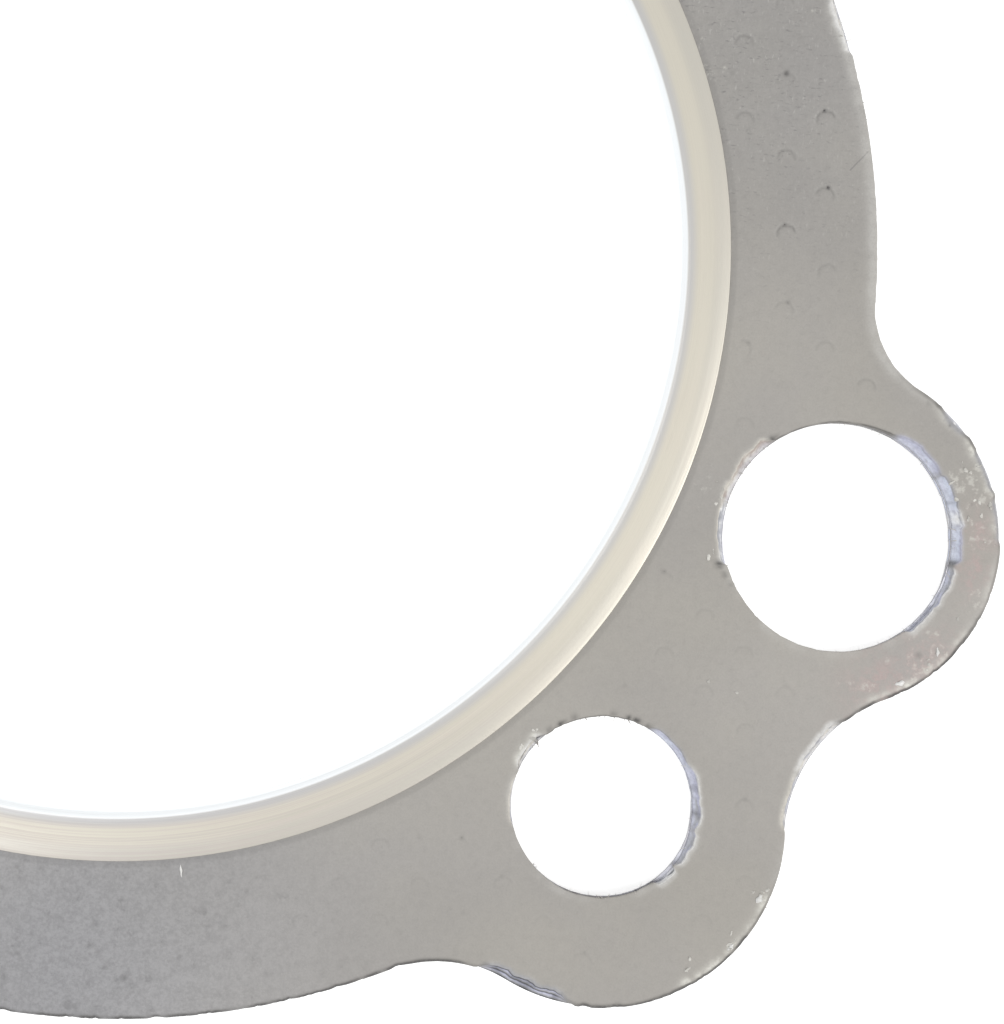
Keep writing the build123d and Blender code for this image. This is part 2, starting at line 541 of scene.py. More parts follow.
# Where the sheared edge is most ragged: place, reach and how much
raggedPlaces = [
    ((44.0, -48.0), 2.4, 1.0),
    ((-1.0, -61.0), 9.0, 0.9),
    ((40.6, -57.5), 2.0, 1.0),
    ((57.0, 21.5), 2.5, 0.7),
    ((39.0, -34.6), 3.0, 0.6),
]

# Pale strips along the edges, partly rubbed bare, partly painted highlight where the rolled lip catches
# light: place, reach and how much
edgeGlints = [
    ((55.2, -48.5), 0.8, 1.0),
    ((54.3, -50.5), 1.3, 0.5),
    ((53.0, -52.4), 1.2, 0.75),
    ((51.7, -53.7), 1.0, 1.0),
    ((50.5, -54.7), 0.8, 0.9),
    ((49.6, -55.3), 0.7, 1.0),
    ((65.3, -30.5), 0.9, 1.0),
    ((67.7, -28.6), 0.9, 0.9),
    ((63.0, -31.7), 1.4, 0.6),
    ((69.4, -26.5), 1.6, 0.5),
    ((66.9, -8.2), 1.0, 0.5),
    ((69.2, -10.8), 0.9, 0.8),
    ((70.8, -13.6), 0.8, 0.7),
    ((71.6, -17.0), 0.9, 0.5),
    ((71.4, -22.0), 1.4, 0.45),
    ((35.2, -38.0), 0.8, 0.8),
    ((36.2, -36.7), 0.6, 0.8),
]

# Grimy stretches of the outer edge: place, reach and how much
edgeGrime = [
    ((66.4, -8.0), 2.6, 0.7),
    ((69.0, -11.0), 2.6, 0.7),
    ((70.8, -14.6), 2.6, 0.6),
    ((71.5, -18.6), 2.4, 0.45),
]

# Short scratches on the upper face: both ends
scratches = [
    ((57.6, 10.4), (58.9, 11.95)),
    ((52.2, 24.4), (52.5, 26.4)),
    ((-44.0, 38.0), (-47.5, 39.2)),
]


# Flecks, granules, scratches and lightness at each point; lightness is 0.5 where it is plain
def zonesAt(points):
    values = np.zeros((len(points), 4))
    for place, reach, *strengths in zones:
        near = np.exp(-((distanceTo(place, points) / reach) ** 2))
        for channel in range(3):
            values[:, channel] = np.maximum(values[:, channel], strengths[channel] * near)
        values[:, 3] += strengths[3] * near
    values[:, 3] = 0.5 + 0.5 * np.clip(values[:, 3], -1, 1)
    return values


# How far each edge point is torn back, how much of a tear it is, how much its plies show, and the tones of
# its slope, flecks and lip
def tearsAt(points):
    count = len(points)
    depth, share, layered, total = np.zeros(count), np.zeros(count), np.zeros(count), np.full(count, 1e-6)
    tones = np.zeros((3, count, 3))
    for place, reach, tearDepth, *names in tears:
        near = smooth(1.0, 0.6, distanceTo(place, points) / reach)
        depth = np.maximum(depth, tearDepth * near)
        share = np.maximum(share, near)
        total += near
        if names[0] == "layers":
            layered = np.maximum(layered, near)
            names = ["lavender", "ash", "ash"]
        for row, name in zip(tones, names):
            row += near[:, None] * np.array(tearTones[name])
    return depth, share, layered, tones / total[:, None]


def sootAt(points, upper):
    return nearness(points, sootSpots) * upper


def patchesAt(points, name):
    mean, swing, size, seed, octaves, least, most = patchiness[name]
    return np.clip(mean + swing * noiseAt(points, size, seed, octaves), least, most)


# A facing while it is built, its core side at height zero. Its marks hold wear with painted light, graphite
# with painted shade, painted highlight (glint) and bloom, and its tints a colour and how far that covers.
class Sheet:
    def __init__(self):
        self.vertices, self.marks, self.tints, self.faces = [], [], [], []
        self.topLoops, self.lowLoops = [], []

    def addRow(self, points, heights, marks, tints=None):
        start = len(self.vertices)
        self.vertices += [(x, y, height) for (x, y), height in zip(points, heights)]
        self.marks += list(marks)
        self.tints += list(np.zeros((len(points), 4)) if tints is None else tints)
        return list(range(start, len(self.vertices)))

    # Joins closed rows one to the next, from the face down to the core
    def addBand(self, rows):
        self.topLoops.append(rows[0])
        self.lowLoops.append(rows[-1])
        for first, second in zip(rows, rows[1:]):
            for i in range(len(first)):
                j = (i + 1) % len(first)
                self.faces.append((first[i], first[j], second[j], second[i]))

    # Fills a flat side between its loops with triangles that meet the points inside
    def fill(self, loops, inside):
        indices = [i for loop in loops for i in loop]
        onLoops = len(indices)
        indices += inside
        corners, bounds = loopEdges(loops, self.vertices)
        flat = [Vector(self.vertices[i][:2]) for i in indices]
        spots, _, triangles, sources, _, _ = delaunay_2d_cdt(flat, bounds.tolist(), [], 0, 1e-9)
        spots = np.array([tuple(spot) for spot in spots])
        triangles = np.array(triangles)
        names = np.array([source[0] if source else -1 for source in sources])
        keep = (names[triangles] >= 0).all(axis=1)
        between = (names[triangles] < onLoops).all(axis=1)  # only these can lie outside the sheet
        keep[between] &= insideLoops(spots[triangles[between]].mean(axis=1), corners, bounds)
        for chosen in names[triangles[keep]]:
            self.faces.append(tuple(indices[c] for c in chosen))


# One edge of a facing: rows of the face out to it, the rolled lip and the sheared wall down to the core
def addEdge(sheet, look, upper, points, outward, kind):
    depth, shape, side = plate["facingDepth"], edgeShape, edgeSides
    zero = np.zeros(len(points))
    tearDepth, tornShare, layered, (slopeTone, fleckTone, lipTone) = tearsAt(points)
    torn = tearDepth if upper else zero
    # painted highlight strips along the rolled lip at the listed places, partly rubbed bare
    glints = nearness(points, edgeGlints) * patchesAt(points, "glint")
    bloom = nearness(points, blooms)
    patchy = patchesAt(points, "grime")
    # painted shade darkens the lip and wall of edges that face -Y, with listed grime stretches; painted light
    # pales the outer edge where it faces +X
    if kind == "rim":
        under = zero
        shadeAndGrime = smooth(*side["rimShade"], -outward[:, 1])
        shadeAndGrime = np.maximum(shadeAndGrime, side["endShare"] * smooth(*side["endDark"], points[:, 0]))
        shadeAndGrime = np.maximum(shadeAndGrime, nearness(points, edgeGrime)) * (1 - side["tornClean"] * layered)
        litSide = smooth(*side["rimLit"], outward[:, 0] + side["paleTilt"] * outward[:, 1])
        litSide = litSide * smooth(*side["paleFrom"], points[:, 1])
    else:
        under = smooth(*side["parted"], outward[:, 1])
        shadeAndGrime = side["holeShare"] * smooth(*side["holeShade"], -outward[:, 1])
        litSide = zero

    coarse, fine = shape["raggedSizes"]
    ragged = noiseAt(points, coarse, look["seed"]) * look["roughness"] * shape["coarseRagged"]
    ragged += noiseAt(points, fine, look["seed"] + 5, 2) * look["roughness"]
    rugged = side["placesRagged"] * nearness(points, raggedPlaces)
    ragged = ragged * (1 + side["darkRagged"] * shadeAndGrime * patchy + rugged)
    window = max(3, round(shape["easing"] / look["edgeSpacing"]))
    around = np.concatenate([torn[-window:], torn, torn[:window]])
    gentle = np.convolve(around, np.ones(window) / window, "same")[window:-window] + shape["easedBack"]
    torn = torn * (1 + shape["tornRagged"] * noiseAt(points, 0.7, 21.0)) + np.maximum(0, ragged)
    torn = torn + shape["leastBack"]
    lip = look[kind + "Roll"] * (1 + shape["lipWaver"] * noiseAt(points, 3.0, 31.0))
    lip = lip * (1 + side["paleLip"] * litSide + side["darkLip"] * shadeAndGrime)
    lipDepth = np.minimum(lip, shape["lipDepth"])
    # plain wear patches, with painted light where the outer edge faces +X
    wornAndLit = patchesAt(points, "wear") * (1 - shadeAndGrime)
    wornAndLit = np.maximum(wornAndLit, shape["litEdge"] * litSide * patchesAt(points, "litEdgePatches"))
    wornReach = shape["wornReach"] + shape["litReach"] * np.maximum(litSide, glints)

    rows = []
    steps = shape["faceSteps"]
    for step in steps:
        share = smooth(steps[0], steps[-1], step)
        back = gentle * (1 - share) + torn * share + under * share * max(0.0, -look["overhang"])
        place = points - outward * (back + lip + step)[:, None]
        # wear and painted light, fading over the face
        wear = wornAndLit * np.exp(-((step / wornReach) ** 2))
        bright = glints * np.exp(-((step / shape["glintReach"]) ** 2)) * upper
        marks = np.stack([wear, sootAt(place, upper), bright, bloom], 1)
        tint = np.column_stack([lipTone, tornShare * shape["lastFaceTint"] * (step == steps[-1]) * upper])
        rows.append(sheet.addRow(place, np.full(len(points), depth), marks, tint))

    for turn, sootAndShadeShare, tinted in shape["lipRows"]:
        angle = math.radians(turn)
        back = torn - look["overhang"] * under + lip * (1 - math.sin(angle))
        place = points - outward * back[:, None]
        # painted shade on the lip of an edge facing -Y, stronger as the lip turns down, with grime; graphite
        # spots add to it
        sootAndShade = shadeAndGrime * np.clip(patchy + shape["lipShade"], 0, 1) * sootAndShadeShare
        sootAndShade = sootAndShade * (1 - side["tornClean"] * tornShare)
        sootAndShade = np.maximum(sootAndShade, sootAt(place, upper))
        marks = np.stack([wornAndLit * (1 - sootAndShade), sootAndShade, glints * (turn == 0) * upper, bloom], 1)
        tint = np.column_stack([lipTone, tornShare * tinted * upper])
        rows.append(sheet.addRow(place, depth - lipDepth * (1 - math.cos(angle)), marks, tint))

    # the wall is torn away above and comes back out to the sheared edge at the core
    for ply, toneName in enumerate(plyTones):
        share = (ply + 1) / len(plyTones)
        height = (depth - lipDepth) * (1 - share)
        spot = np.column_stack([points, height * 3])
        rough = np.maximum(0, noiseAt(spot, 0.5, look["seed"] + share, 3))
        back = torn * (1 - share) ** shape["tearCurve"]
        back = back + rough * look["roughness"] * shape["wallRagged"] * (share < 1)
        back = back + under * (look["flare"] * share - look["overhang"] * (1 - share))
        flecked = smooth(0.0, 0.45, noiseAt(spot, 0.8, 15.0, 2))[:, None]
        tone = slopeTone * (1 - flecked) + fleckTone * flecked
        lit = shape["footLight"] * smooth(0.2, 0.9, share)
        tone = tone * (1 - lit) + np.array(tearTones["foot"]) * lit
        uneven = 0.8 + 0.5 * np.clip(noiseAt(spot, 0.8, 25.0, 2), -1, 1)
        plyTone = np.array(tearTones[toneName]) * uneven[:, None]
        tone = tone * (1 - layered[:, None]) + plyTone * layered[:, None]
        # painted shade on the wall of an edge facing -Y, and where the wall meets the core all round
        sootAndShade = np.maximum(shadeAndGrime * shape["darkWall"], shape["darkCore"] * smooth(0.4, 1.0, share))
        sootAndShade = sootAndShade * (1 - tornShare)
        marks = np.stack([zero, np.maximum(sootAndShade, sootAt(points, upper)), zero, zero], 1)
        tint = np.column_stack([tone, tornShare])
        rows.append(sheet.addRow(points - outward * back[:, None], height, marks, tint))
    sheet.addBand(rows)


def addSeat(sheet):
    points = alongArcs([((0, 0), seatRows[0][0], 0, 360)], seatSpacing, hole=True)[0]
    count = len(points)
    angles = np.arctan2(points[:, 1], points[:, 0])
    direction = np.column_stack([np.cos(angles), np.sin(angles)])
    wave = noiseAt(points, 2.5, 51.0)
    rows = []
    for radius, drop, wavy, sootAndShadeShare in seatRows:
        # the last value of each row is painted shade: the fire ring's contact shadow
        marks = np.tile((0.0, sootAndShadeShare, 0.0, 0.0), (count, 1))
        place = direction * (radius + wave * wavy)[:, None]
        rows.append(sheet.addRow(place, np.full(count, plate["facingDepth"] - drop), marks))
    sheet.addBand(rows)


# Points of the open face: a plain grid, made finer on the tang marks
def openPoints(look, tree):
    inside = []
    spare = look["gridSpacing"] * 0.6
    edgeGap = edgeShape["faceSteps"][0] + spare + edgeShape["edgeGap"]
    seatEnd = seatRows[0][0]
    rowStep = edgeShape["rowStep"]

    def addGrid(centreX, centreY, width, tall, pitch, keep):
        rows = int(tall / (pitch * rowStep)) + 1
        columns = int(width / pitch) + 1
        for r in range(-rows // 2, rows // 2 + 1):
            for c in range(-columns // 2, columns // 2 + 1):
                x = centreX + (c + 0.5 * (r % 2)) * pitch
                y = centreY + r * pitch * rowStep
                if keep(x, y):
                    inside.append((x, y))

    def keepPlain(x, y):
        if math.hypot(x, y) < seatEnd + spare or inwardAt(x, y) < edgeGap:
            return False
        return tree.find((x, y, 0))[2] > markShape["plainReach"]

    def keepFine(x, y):
        if math.hypot(x - markX, y - markY) >= markShape["fineReach"]:
            return False
        return inwardAt(x, y) > edgeGap and math.hypot(x, y) > seatEnd + edgeShape["edgeGap"]

    addGrid(0, 0, *edgeShape["sheetSize"], look["gridSpacing"], keepPlain)
    size = markShape["fineSize"]
    for (markX, markY), *_ in tangMarks:
        addGrid(markX, markY, size, size, look["markSpacing"], keepFine)
    return np.array(inside)


# Presses the tang marks into the open face, paints shade into their grooves and darkens their dots
def pressMarks(points, heights, marks, tree):
    m = markShape
    for i, (x, y) in enumerate(points):
        for spot, index, distance in tree.find_range((x, y, 0), m["reach"]):
            place, strength, dot, lean = tangMarks[index]
            dx, dy = x - place[0], y - place[1]
            lx = dx * math.cos(lean) + dy * math.sin(lean)
            ly = -dx * math.sin(lean) + dy * math.cos(lean)
            ring = math.hypot(lx, (ly + m["sink"]) * m["squash"])
            crown = smooth(*m["crownBlend"], (ly + m["sink"]) / max(ring, 0.05))
            groove = math.exp(-(((ring - m["grooveRadius"]) / m["grooveWidth"]) ** 2)) * crown * strength
            ridge = math.exp(-(((ring - m["ridgeRadius"]) / m["ridgeWidth"]) ** 2)) * crown * strength
            fromDot = math.hypot(lx - m["dotPlace"][0], ly - m["dotPlace"][1])
            pit = math.exp(-((fromDot / m["pitRadius"]) ** 2)) * dot
            dome = m["domeRise"] * strength * smooth(*m["domeBlend"], ring)
            heights[i] += dome + m["ridgeRise"] * ridge - m["grooveDepth"] * groove - m["pitDepth"] * pit
            # painted shade in the groove, and the dot's dark tone
            marks[i][1] = max(marks[i][1], m["grooveShade"] * groove + m["pitSoot"] * pit)
            marks[i][0] = max(marks[i][0], m["ridgeWear"] * ridge)


def makeFacing(name, look, material, upper):
    sheet = Sheet()
    for points, outward, kind in plateEdges(look["edgeSpacing"]):
        addEdge(sheet, look, upper, points, outward, kind)
    addSeat(sheet)

    # the open face, as far as the rows along the edges
    tree = makeTree([mark[0] for mark in tangMarks])
    inside = openPoints(look, tree)
    near = np.array([inwardAt(x, y) < edgeShape["nearEdge"] for x, y in inside])
    kept = ~near
    kept[near] = insideLoops(inside[near], *loopEdges(sheet.topLoops, sheet.vertices))
    inside = inside[kept]
    mottle = noiseAt(inside, 4.5, look["seed"] + 60, 3) + 0.6 * noiseAt(inside, 1.3, look["seed"] + 70, 2)
    heights = plate["facingDepth"] + look["mottle"] * np.clip(mottle, -1, 0.6)
    marks = np.zeros((len(inside), 4))
    marks[:, 1] = sootAt(inside, upper)
    marks[:, 3] = nearness(inside, blooms)
    heights -= edgeShape["sootDip"] * marks[:, 1]
    pressMarks(inside, heights, marks, tree)
    interior = sheet.addRow(inside, heights, marks)
    sheet.fill(sheet.topLoops, interior)
    sheet.fill(sheet.lowLoops, [])

    places = np.array(sheet.vertices)
    places[:, 2] = plate["coreHigh"] + places[:, 2] if upper else plate["coreLow"] - places[:, 2]
    piece = newObject(name, places * mm, sheet.faces, material)
    for key, values in (("marks", sheet.marks), ("tint", sheet.tints), ("zones", zonesAt(places))):
        layer = piece.data.attributes.new(key, "FLOAT_COLOR", "POINT")
        layer.data.foreach_set("color", np.clip(np.array(values), 0, 1).astype(np.float32).ravel())
    print(name, "built with", len(piece.data.polygons), "faces")
    return piece


# Finishes of the three materials that show most
facingFinish = {
    "plain": (0.405, 0.384, 0.358),
    "warm": (0.425, 0.402, 0.366),
    "cool": (0.380, 0.376, 0.390),
    "bronze": (0.50, 0.405, 0.385),
    "sootAndShade": (0.085, 0.082, 0.08),
    "wornAndLit": (0.66, 0.645, 0.61),
    "fleck": (0.62, 0.60, 0.55),
    "glint": (0.88, 0.865, 0.79),
    "dash": (0.20, 0.19, 0.19),
    "scratch": (0.17, 0.165, 0.165),
    "grainSize": 0.16,
    "granuleSize": 0.25,
    "fleckSize": 0.62,
    "blotchSize": 14.0,
    "dashLength": 0.55,
    "dashWidth": 0.20,
    "scratchHalfWidth": 0.09,
    "blotchBlend": (0.35, 0.65),
    "fleckBlend": (0.44, 0.58),
    "grainShade": (0.955, 1.045),  # darkest and lightest
    "granuleShade": (0.82, 1.14),
    "coolShare": 0.9,  # of the cool tone where the face is granular
    "granuleShare": 0.60,
    "dashShare": 0.62,  # of the dashes where the face is scratchy
    "plainDashes": 0.05,  # and everywhere
    "paleDashes": 0.55,
    "pitShare": 0.12,  # of the pits where the face is granular
    "plainPits": 0.03,
    "scratchShare": 0.35,
    "roughness": 0.62,
    "relief": 0.05,
}

ringFinish = {
    "face": (0.62, 0.59, 0.51),
    "rim": (0.55, 0.53, 0.475),
    "fold": (0.90, 0.925, 0.94),
    # the wall and crease tones are painted shade: the bore wall and the crease beside the fold are darker
    "wall": (0.80, 0.83, 0.85),
    "crease": (0.50, 0.505, 0.525),
    "rose": (0.58, 0.50, 0.485),
    "amber": (0.60, 0.555, 0.49),
    "stain": (0.36, 0.35, 0.34),
    # radii between which one tone gives way to the next
    "rimBlend": (47.0, 48.0),
    "creaseBlend": (45.0, 45.45),
    "creaseEnd": (46.3, 45.5),
    "foldBlend": (45.42, 45.22),
    "wallBlend": (44.84, 44.72),
    "streakSize": 0.10,  # across the streaks
    "streakTurn": 2.2,  # noise cells to a radian along them
    # how much of each tone shows
    "roseShare": 0.36,
    "stainShare": 0.30,
    "amberShare": 0.25,
    "creaseShadeShare": 0.7,
    "grainSize": 0.12,
    "blotchSize": 9.0,
    "roughness": 0.40,
    "relief": 0.02,
}

coreFinish = {
    "steel": (0.62, 0.63, 0.70),
    "stain": (0.42, 0.40, 0.42),
    "pit": (0.16, 0.15, 0.16),
    # painted shade on the upright cut edges
    "sheared": (0.17, 0.165, 0.17),
    "grainSize": 0.25,
    "blotchSize": 5.0,
    "roughness": 0.38,
    "relief": 0.03,
}

# Dark and pale tones of the loose fibres, chips and slivers
fibreFinish = {
    "frayedFibre": ((0.36, 0.34, 0.32), (0.62, 0.59, 0.54)),
    "chippedFibre": ((0.47, 0.455, 0.42), (0.74, 0.72, 0.67)),
    "liftedSliver": ((0.80, 0.79, 0.76), (0.93, 0.92, 0.90)),
}


# Short hands for adding nodes to a tree and joining them
class Wiring:
    def __init__(self, tree):
        self.tree = tree

    # Adds a node, and gives its inputs, by name or number, a value or another node's output
    def node(self, kind, sockets=None, **settings):
        made = self.tree.nodes.new(kind)
        for key, value in settings.items():
            setattr(made, key, value)
        for key, value in (sockets or {}).items():
            self.put(made.inputs[key], value)
        return made

    def put(self, socket, value):
        if isinstance(value, bpy.types.NodeSocket):
            self.tree.links.new(value, socket)
        else:
            socket.default_value = value

    def maths(self, operation, first, second=0.0, clamp=False):
        made = self.node("ShaderNodeMath", {0: first, 1: second}, operation=operation, use_clamp=clamp)
        return made.outputs[0]

    def plus(self, first, second):
        return self.maths("ADD", first, second)

    def times(self, first, second):
        return self.maths("MULTIPLY", first, second)

    def vectorMaths(self, operation, first, second):
        other = "Scale" if operation == "SCALE" else 1
        made = self.node("ShaderNodeVectorMath", {0: first, other: second}, operation=operation)
        return made.outputs["Value" if operation in ("DOT_PRODUCT", "DISTANCE") else "Vector"]

    def vector(self, x, y, z):
        return self.node("ShaderNodeCombineXYZ", {0: x, 1: y, 2: z}).outputs[0]

    def split(self, vector):
        return self.node("ShaderNodeSeparateXYZ", {0: vector}).outputs

    def remap(self, value, fromLow, fromHigh, toLow=0.0, toHigh=1.0):
        sockets = dict(enumerate((value, fromLow, fromHigh, toLow, toHigh)))
        return self.node("ShaderNodeMapRange", sockets, interpolation_type="SMOOTHSTEP").outputs[0]

    def blend(self, factor, first, second, mode="MIX"):
        sockets = {0: factor}
        for number, tone in ((6, first), (7, second)):
            sockets[number] = tone if isinstance(tone, bpy.types.NodeSocket) else (*tone, 1)
        return self.node("ShaderNodeMix", sockets, data_type="RGBA", blend_type=mode).outputs[2]

    def shade(self, colour, value):
        return self.blend(1.0, colour, value, "MULTIPLY")

    def noise(self, vector, scale, detail, roughness):
        sockets = {"Vector": vector, "Scale": scale, "Detail": detail, "Roughness": roughness}
        return self.node("ShaderNodeTexNoise", sockets, noise_dimensions="3D").outputs["Fac"]

    def group(self, tree, **values):
        sockets = {key.replace("_", " "): value for key, value in values.items()}
        return self.node("ShaderNodeGroup", sockets, node_tree=tree).outputs


# Starts a shader group; an input without a value is a vector, and each output is a value
def newGroup(name, inputs, outputs):
    tree = bpy.data.node_groups.new(name, "ShaderNodeTree")
    for socketName, value in inputs.items():
        kind = "NodeSocketVector" if value is None else "NodeSocketFloat"
        socket = tree.interface.new_socket(socketName, in_out="INPUT", socket_type=kind)
        if value is not None:
            socket.default_value = value
    for socketName in outputs:
        tree.interface.new_socket(socketName, in_out="OUTPUT", socket_type="NodeSocketFloat")
    w = Wiring(tree)
    return w, w.node("NodeGroupInput").outputs, w.node("NodeGroupOutput").inputs


# Fine grain: a speckle of the given size in millimetres, as a value round 0.5 and as a height
def makeGrainGroup():
    w, given, result = newGroup("fineGrain", {"Vector": None, "Size": 0.2, "Pits": 0.3},
                                ("Value", "Height", "Pitted"))
    spot = w.vectorMaths("SCALE", given["Vector"], w.maths("DIVIDE", 1000.0, given["Size"]))
    fine = w.noise(spot, 1.0, 3.0, 0.65)
    coarse = w.noise(spot, 0.28, 2.0, 0.55)
    value = w.plus(w.times(fine, 0.65), w.times(coarse, 0.35))
    pit = w.times(w.remap(coarse, 0.36, 0.27), given["Pits"])
    w.put(result["Value"], value)
    w.put(result["Height"], w.maths("SUBTRACT", value, pit))
    w.put(result["Pitted"], pit)
    return w.tree


# Broad blotches: handling marks and uneven pressing, as two values round 0.5
def makeBlotchGroup():
    w, given, result = newGroup("blotches", {"Vector": None, "Size": 12.0}, ("Value", "Second"))
    spot = w.vectorMaths("SCALE", given["Vector"], w.maths("DIVIDE", 1000.0, given["Size"]))
    shifted = w.vectorMaths("ADD", spot, (7.3, 2.9, 5.1))
    w.put(result["Value"], w.noise(spot, 1.0, 3.0, 0.55))
    w.put(result["Second"], w.noise(shifted, 1.0, 2.0, 0.5))
    return w.tree


# Fine dashes that lie both ways across the face, from the fibres in the sheet
def makeDashGroup():
    w, given, result = newGroup("fibreDashes", {"Vector": None, "Length": 1.2, "Width": 0.16},
                                ("Value", "Second"))
    x, y, z = w.split(given["Vector"])
    perLength = w.maths("DIVIDE", 1000.0, given["Length"])
    perWidth = w.maths("DIVIDE", 1000.0, given["Width"])
    for name, first, second in (("Value", perLength, perWidth), ("Second", perWidth, perLength)):
        stretched = w.vector(w.times(x, first), w.times(y, second), w.times(z, perWidth))
        w.put(result[name], w.noise(stretched, 1.0, 2.0, 0.5))
    return w.tree


# How near a point is to a short line on the face: one on the line, none a half width away
def makeScratchGroup():
    inputs = {"Vector": None, "Start": None, "End": None, "Half Width": 0.1}
    w, given, result = newGroup("scratchLine", inputs, ("Value",))
    away = w.vectorMaths("SUBTRACT", given["Vector"], given["Start"])
    line = w.vectorMaths("SUBTRACT", given["End"], given["Start"])
    reach = w.vectorMaths("DOT_PRODUCT", away, line)
    along = w.maths("DIVIDE", reach, w.vectorMaths("DOT_PRODUCT", line, line), clamp=True)
    gap = w.vectorMaths("DISTANCE", away, w.vectorMaths("SCALE", line, along))
    halfWidth = w.maths("DIVIDE", given["Half Width"], 1000.0)
    w.put(result["Value"], w.remap(gap, halfWidth, 0.0))
    return w.tree


grainGroup = makeGrainGroup()
blotchGroup = makeBlotchGroup()
dashGroup = makeDashGroup()
scratchGroup = makeScratchGroup()


def newMaterial(name):
    material = bpy.data.materials.new(name)
    material.use_nodes = True
    material.node_tree.nodes.clear()
    w = Wiring(material.node_tree)
    shader = w.node("ShaderNodeBsdfPrincipled")
    w.node("ShaderNodeOutputMaterial", {"Surface": shader.outputs[0]})
    return material, w, shader.inputs, w.node("ShaderNodeTexCoord").outputs["Object"]


# Gives a shader its normals from a height, in units of the relief
def addRelief(w, shader, height, strength, relief):
    bump = w.node("ShaderNodeBump", {"Strength": strength, "Distance": relief * mm, "Height": height})
    w.put(shader["Normal"], bump.outputs[0])


def makeFacingMaterial():
    f = facingFinish
    material, w, shader, place = newMaterial("pressedFibreGraphite")
    grain = w.group(grainGroup, Vector=place, Size=f["grainSize"], Pits=0.4)
    granules = w.group(grainGroup, Vector=place, Size=f["granuleSize"], Pits=1.0)
    flecks = w.group(grainGroup, Vector=place, Size=f["fleckSize"], Pits=0.0)
    blotch = w.group(blotchGroup, Vector=place, Size=f["blotchSize"])
    dashes = w.group(dashGroup, Vector=place, Length=f["dashLength"], Width=f["dashWidth"])

    def painted(name):
        layer = w.node("ShaderNodeAttribute", attribute_name=name, attribute_type="GEOMETRY").outputs
        channels = w.node("ShaderNodeSeparateColor", {0: layer["Color"]}).outputs
        return (*channels, layer["Alpha"], layer["Color"])

    wornAndLit, sootAndShadeShare, bright, bloom, _ = painted("marks")
    tinted, tint = painted("tint")[3:]
    fleckShare, granular, scratchy, light, _ = painted("zones")

    colour = w.blend(w.remap(blotch["Value"], *f["blotchBlend"]), f["plain"], f["warm"])
    colour = w.blend(w.times(granular, f["coolShare"]), colour, f["cool"])
    colour = w.shade(colour, w.remap(light, 0.0, 1.0, 0.80, 1.20))
    colour = w.shade(colour, w.remap(blotch["Second"], *f["blotchBlend"], 0.975, 1.025))
    bronze = w.times(bloom, w.remap(flecks["Value"], *f["fleckBlend"], 0.25, 0.95))
    colour = w.blend(bronze, colour, f["bronze"])

    # grain everywhere, stronger granules and fibre dashes where the sheet shows them
    colour = w.shade(colour, w.remap(grain["Value"], 0.35, 0.65, *f["grainShade"]))
    lumpy = w.shade(colour, w.remap(granules["Value"], 0.38, 0.62, *f["granuleShade"]))
    colour = w.blend(w.times(granular, f["granuleShare"]), colour, lumpy)
    gathered = w.remap(flecks["Value"], *f["fleckBlend"], 0.2, 1.0)  # the dashes lie in tufts
    darkDash = w.times(w.remap(dashes["Value"], 0.56, 0.74), gathered)
    lightDash = w.times(w.remap(dashes["Second"], 0.58, 0.74), gathered)
    dashShare = w.plus(w.times(scratchy, f["dashShare"]), f["plainDashes"])
    dented = w.times(darkDash, dashShare)
    colour = w.blend(dented, colour, f["dash"])
    colour = w.blend(w.times(lightDash, w.times(dashShare, f["paleDashes"])), colour, f["wornAndLit"])
    pitShare = w.plus(w.times(granular, f["pitShare"]), f["plainPits"])
    colour = w.blend(w.times(granules["Pitted"], pitShare), colour, f["sootAndShade"])

    # soft pale flecks where the face has been rubbed
    fleckEdge = w.remap(fleckShare, 0.0, 1.0, 0.66, 0.50)
    fleck = w.remap(flecks["Value"], fleckEdge, w.plus(fleckEdge, 0.13))
    fleck = w.times(fleck, w.remap(fleckShare, 0.02, 0.6, 0.0, 0.8))
    colour = w.blend(fleck, colour, f["fleck"])

    scraped = 0.0
    for ends in scratches:
        start, end = [(x * mm, y * mm, topFace * mm) for x, y in ends]
        line = w.group(scratchGroup, Vector=place, Start=start, End=end, Half_Width=f["scratchHalfWidth"])
        scraped = w.maths("MAXIMUM", scraped, line["Value"])
    colour = w.blend(w.times(scraped, f["scratchShare"]), colour, f["scratch"])

    # wear with painted light, painted highlights (glints), torn tones, and graphite with painted shade, as
    # painted on the mesh
    # wear, and painted light on the outer edge where it faces +X
    wornAndLitMask = w.times(wornAndLit, w.remap(grain["Value"], 0.3, 0.6, 0.6, 1.0))
    colour = w.blend(wornAndLitMask, colour, f["wornAndLit"])
    # painted highlight strips along the edges
    glinting = w.times(bright, w.remap(granules["Value"], 0.35, 0.55, 0.5, 1.0))
    colour = w.blend(glinting, colour, f["glint"])
    colour = w.blend(tinted, colour, w.shade(tint, w.remap(granules["Value"], 0.36, 0.62, 0.86, 1.08)))
    # graphite spots, tang dots and painted shade: edges facing -Y, the contact shadow beside the fire ring
    # and the tang grooves
    sootAndShadeMask = w.times(sootAndShadeShare, w.remap(grain["Value"], 0.3, 0.55, 0.7, 0.98))
    colour = w.blend(sootAndShadeMask, colour, f["sootAndShade"])
    rough = w.remap(grain["Value"], 0.3, 0.7, f["roughness"] - 0.08, f["roughness"] + 0.14)
    w.put(shader["Base Color"], colour)
    w.put(shader["Roughness"], rough)
    w.put(shader["Specular IOR Level"], 0.35)
    height = w.plus(grain["Height"], w.times(granules["Height"], granular))
    height = w.maths("SUBTRACT", height, w.times(scraped, 1.5))
    addRelief(w, shader, w.maths("SUBTRACT", height, dented), 0.5, f["relief"])
    return material


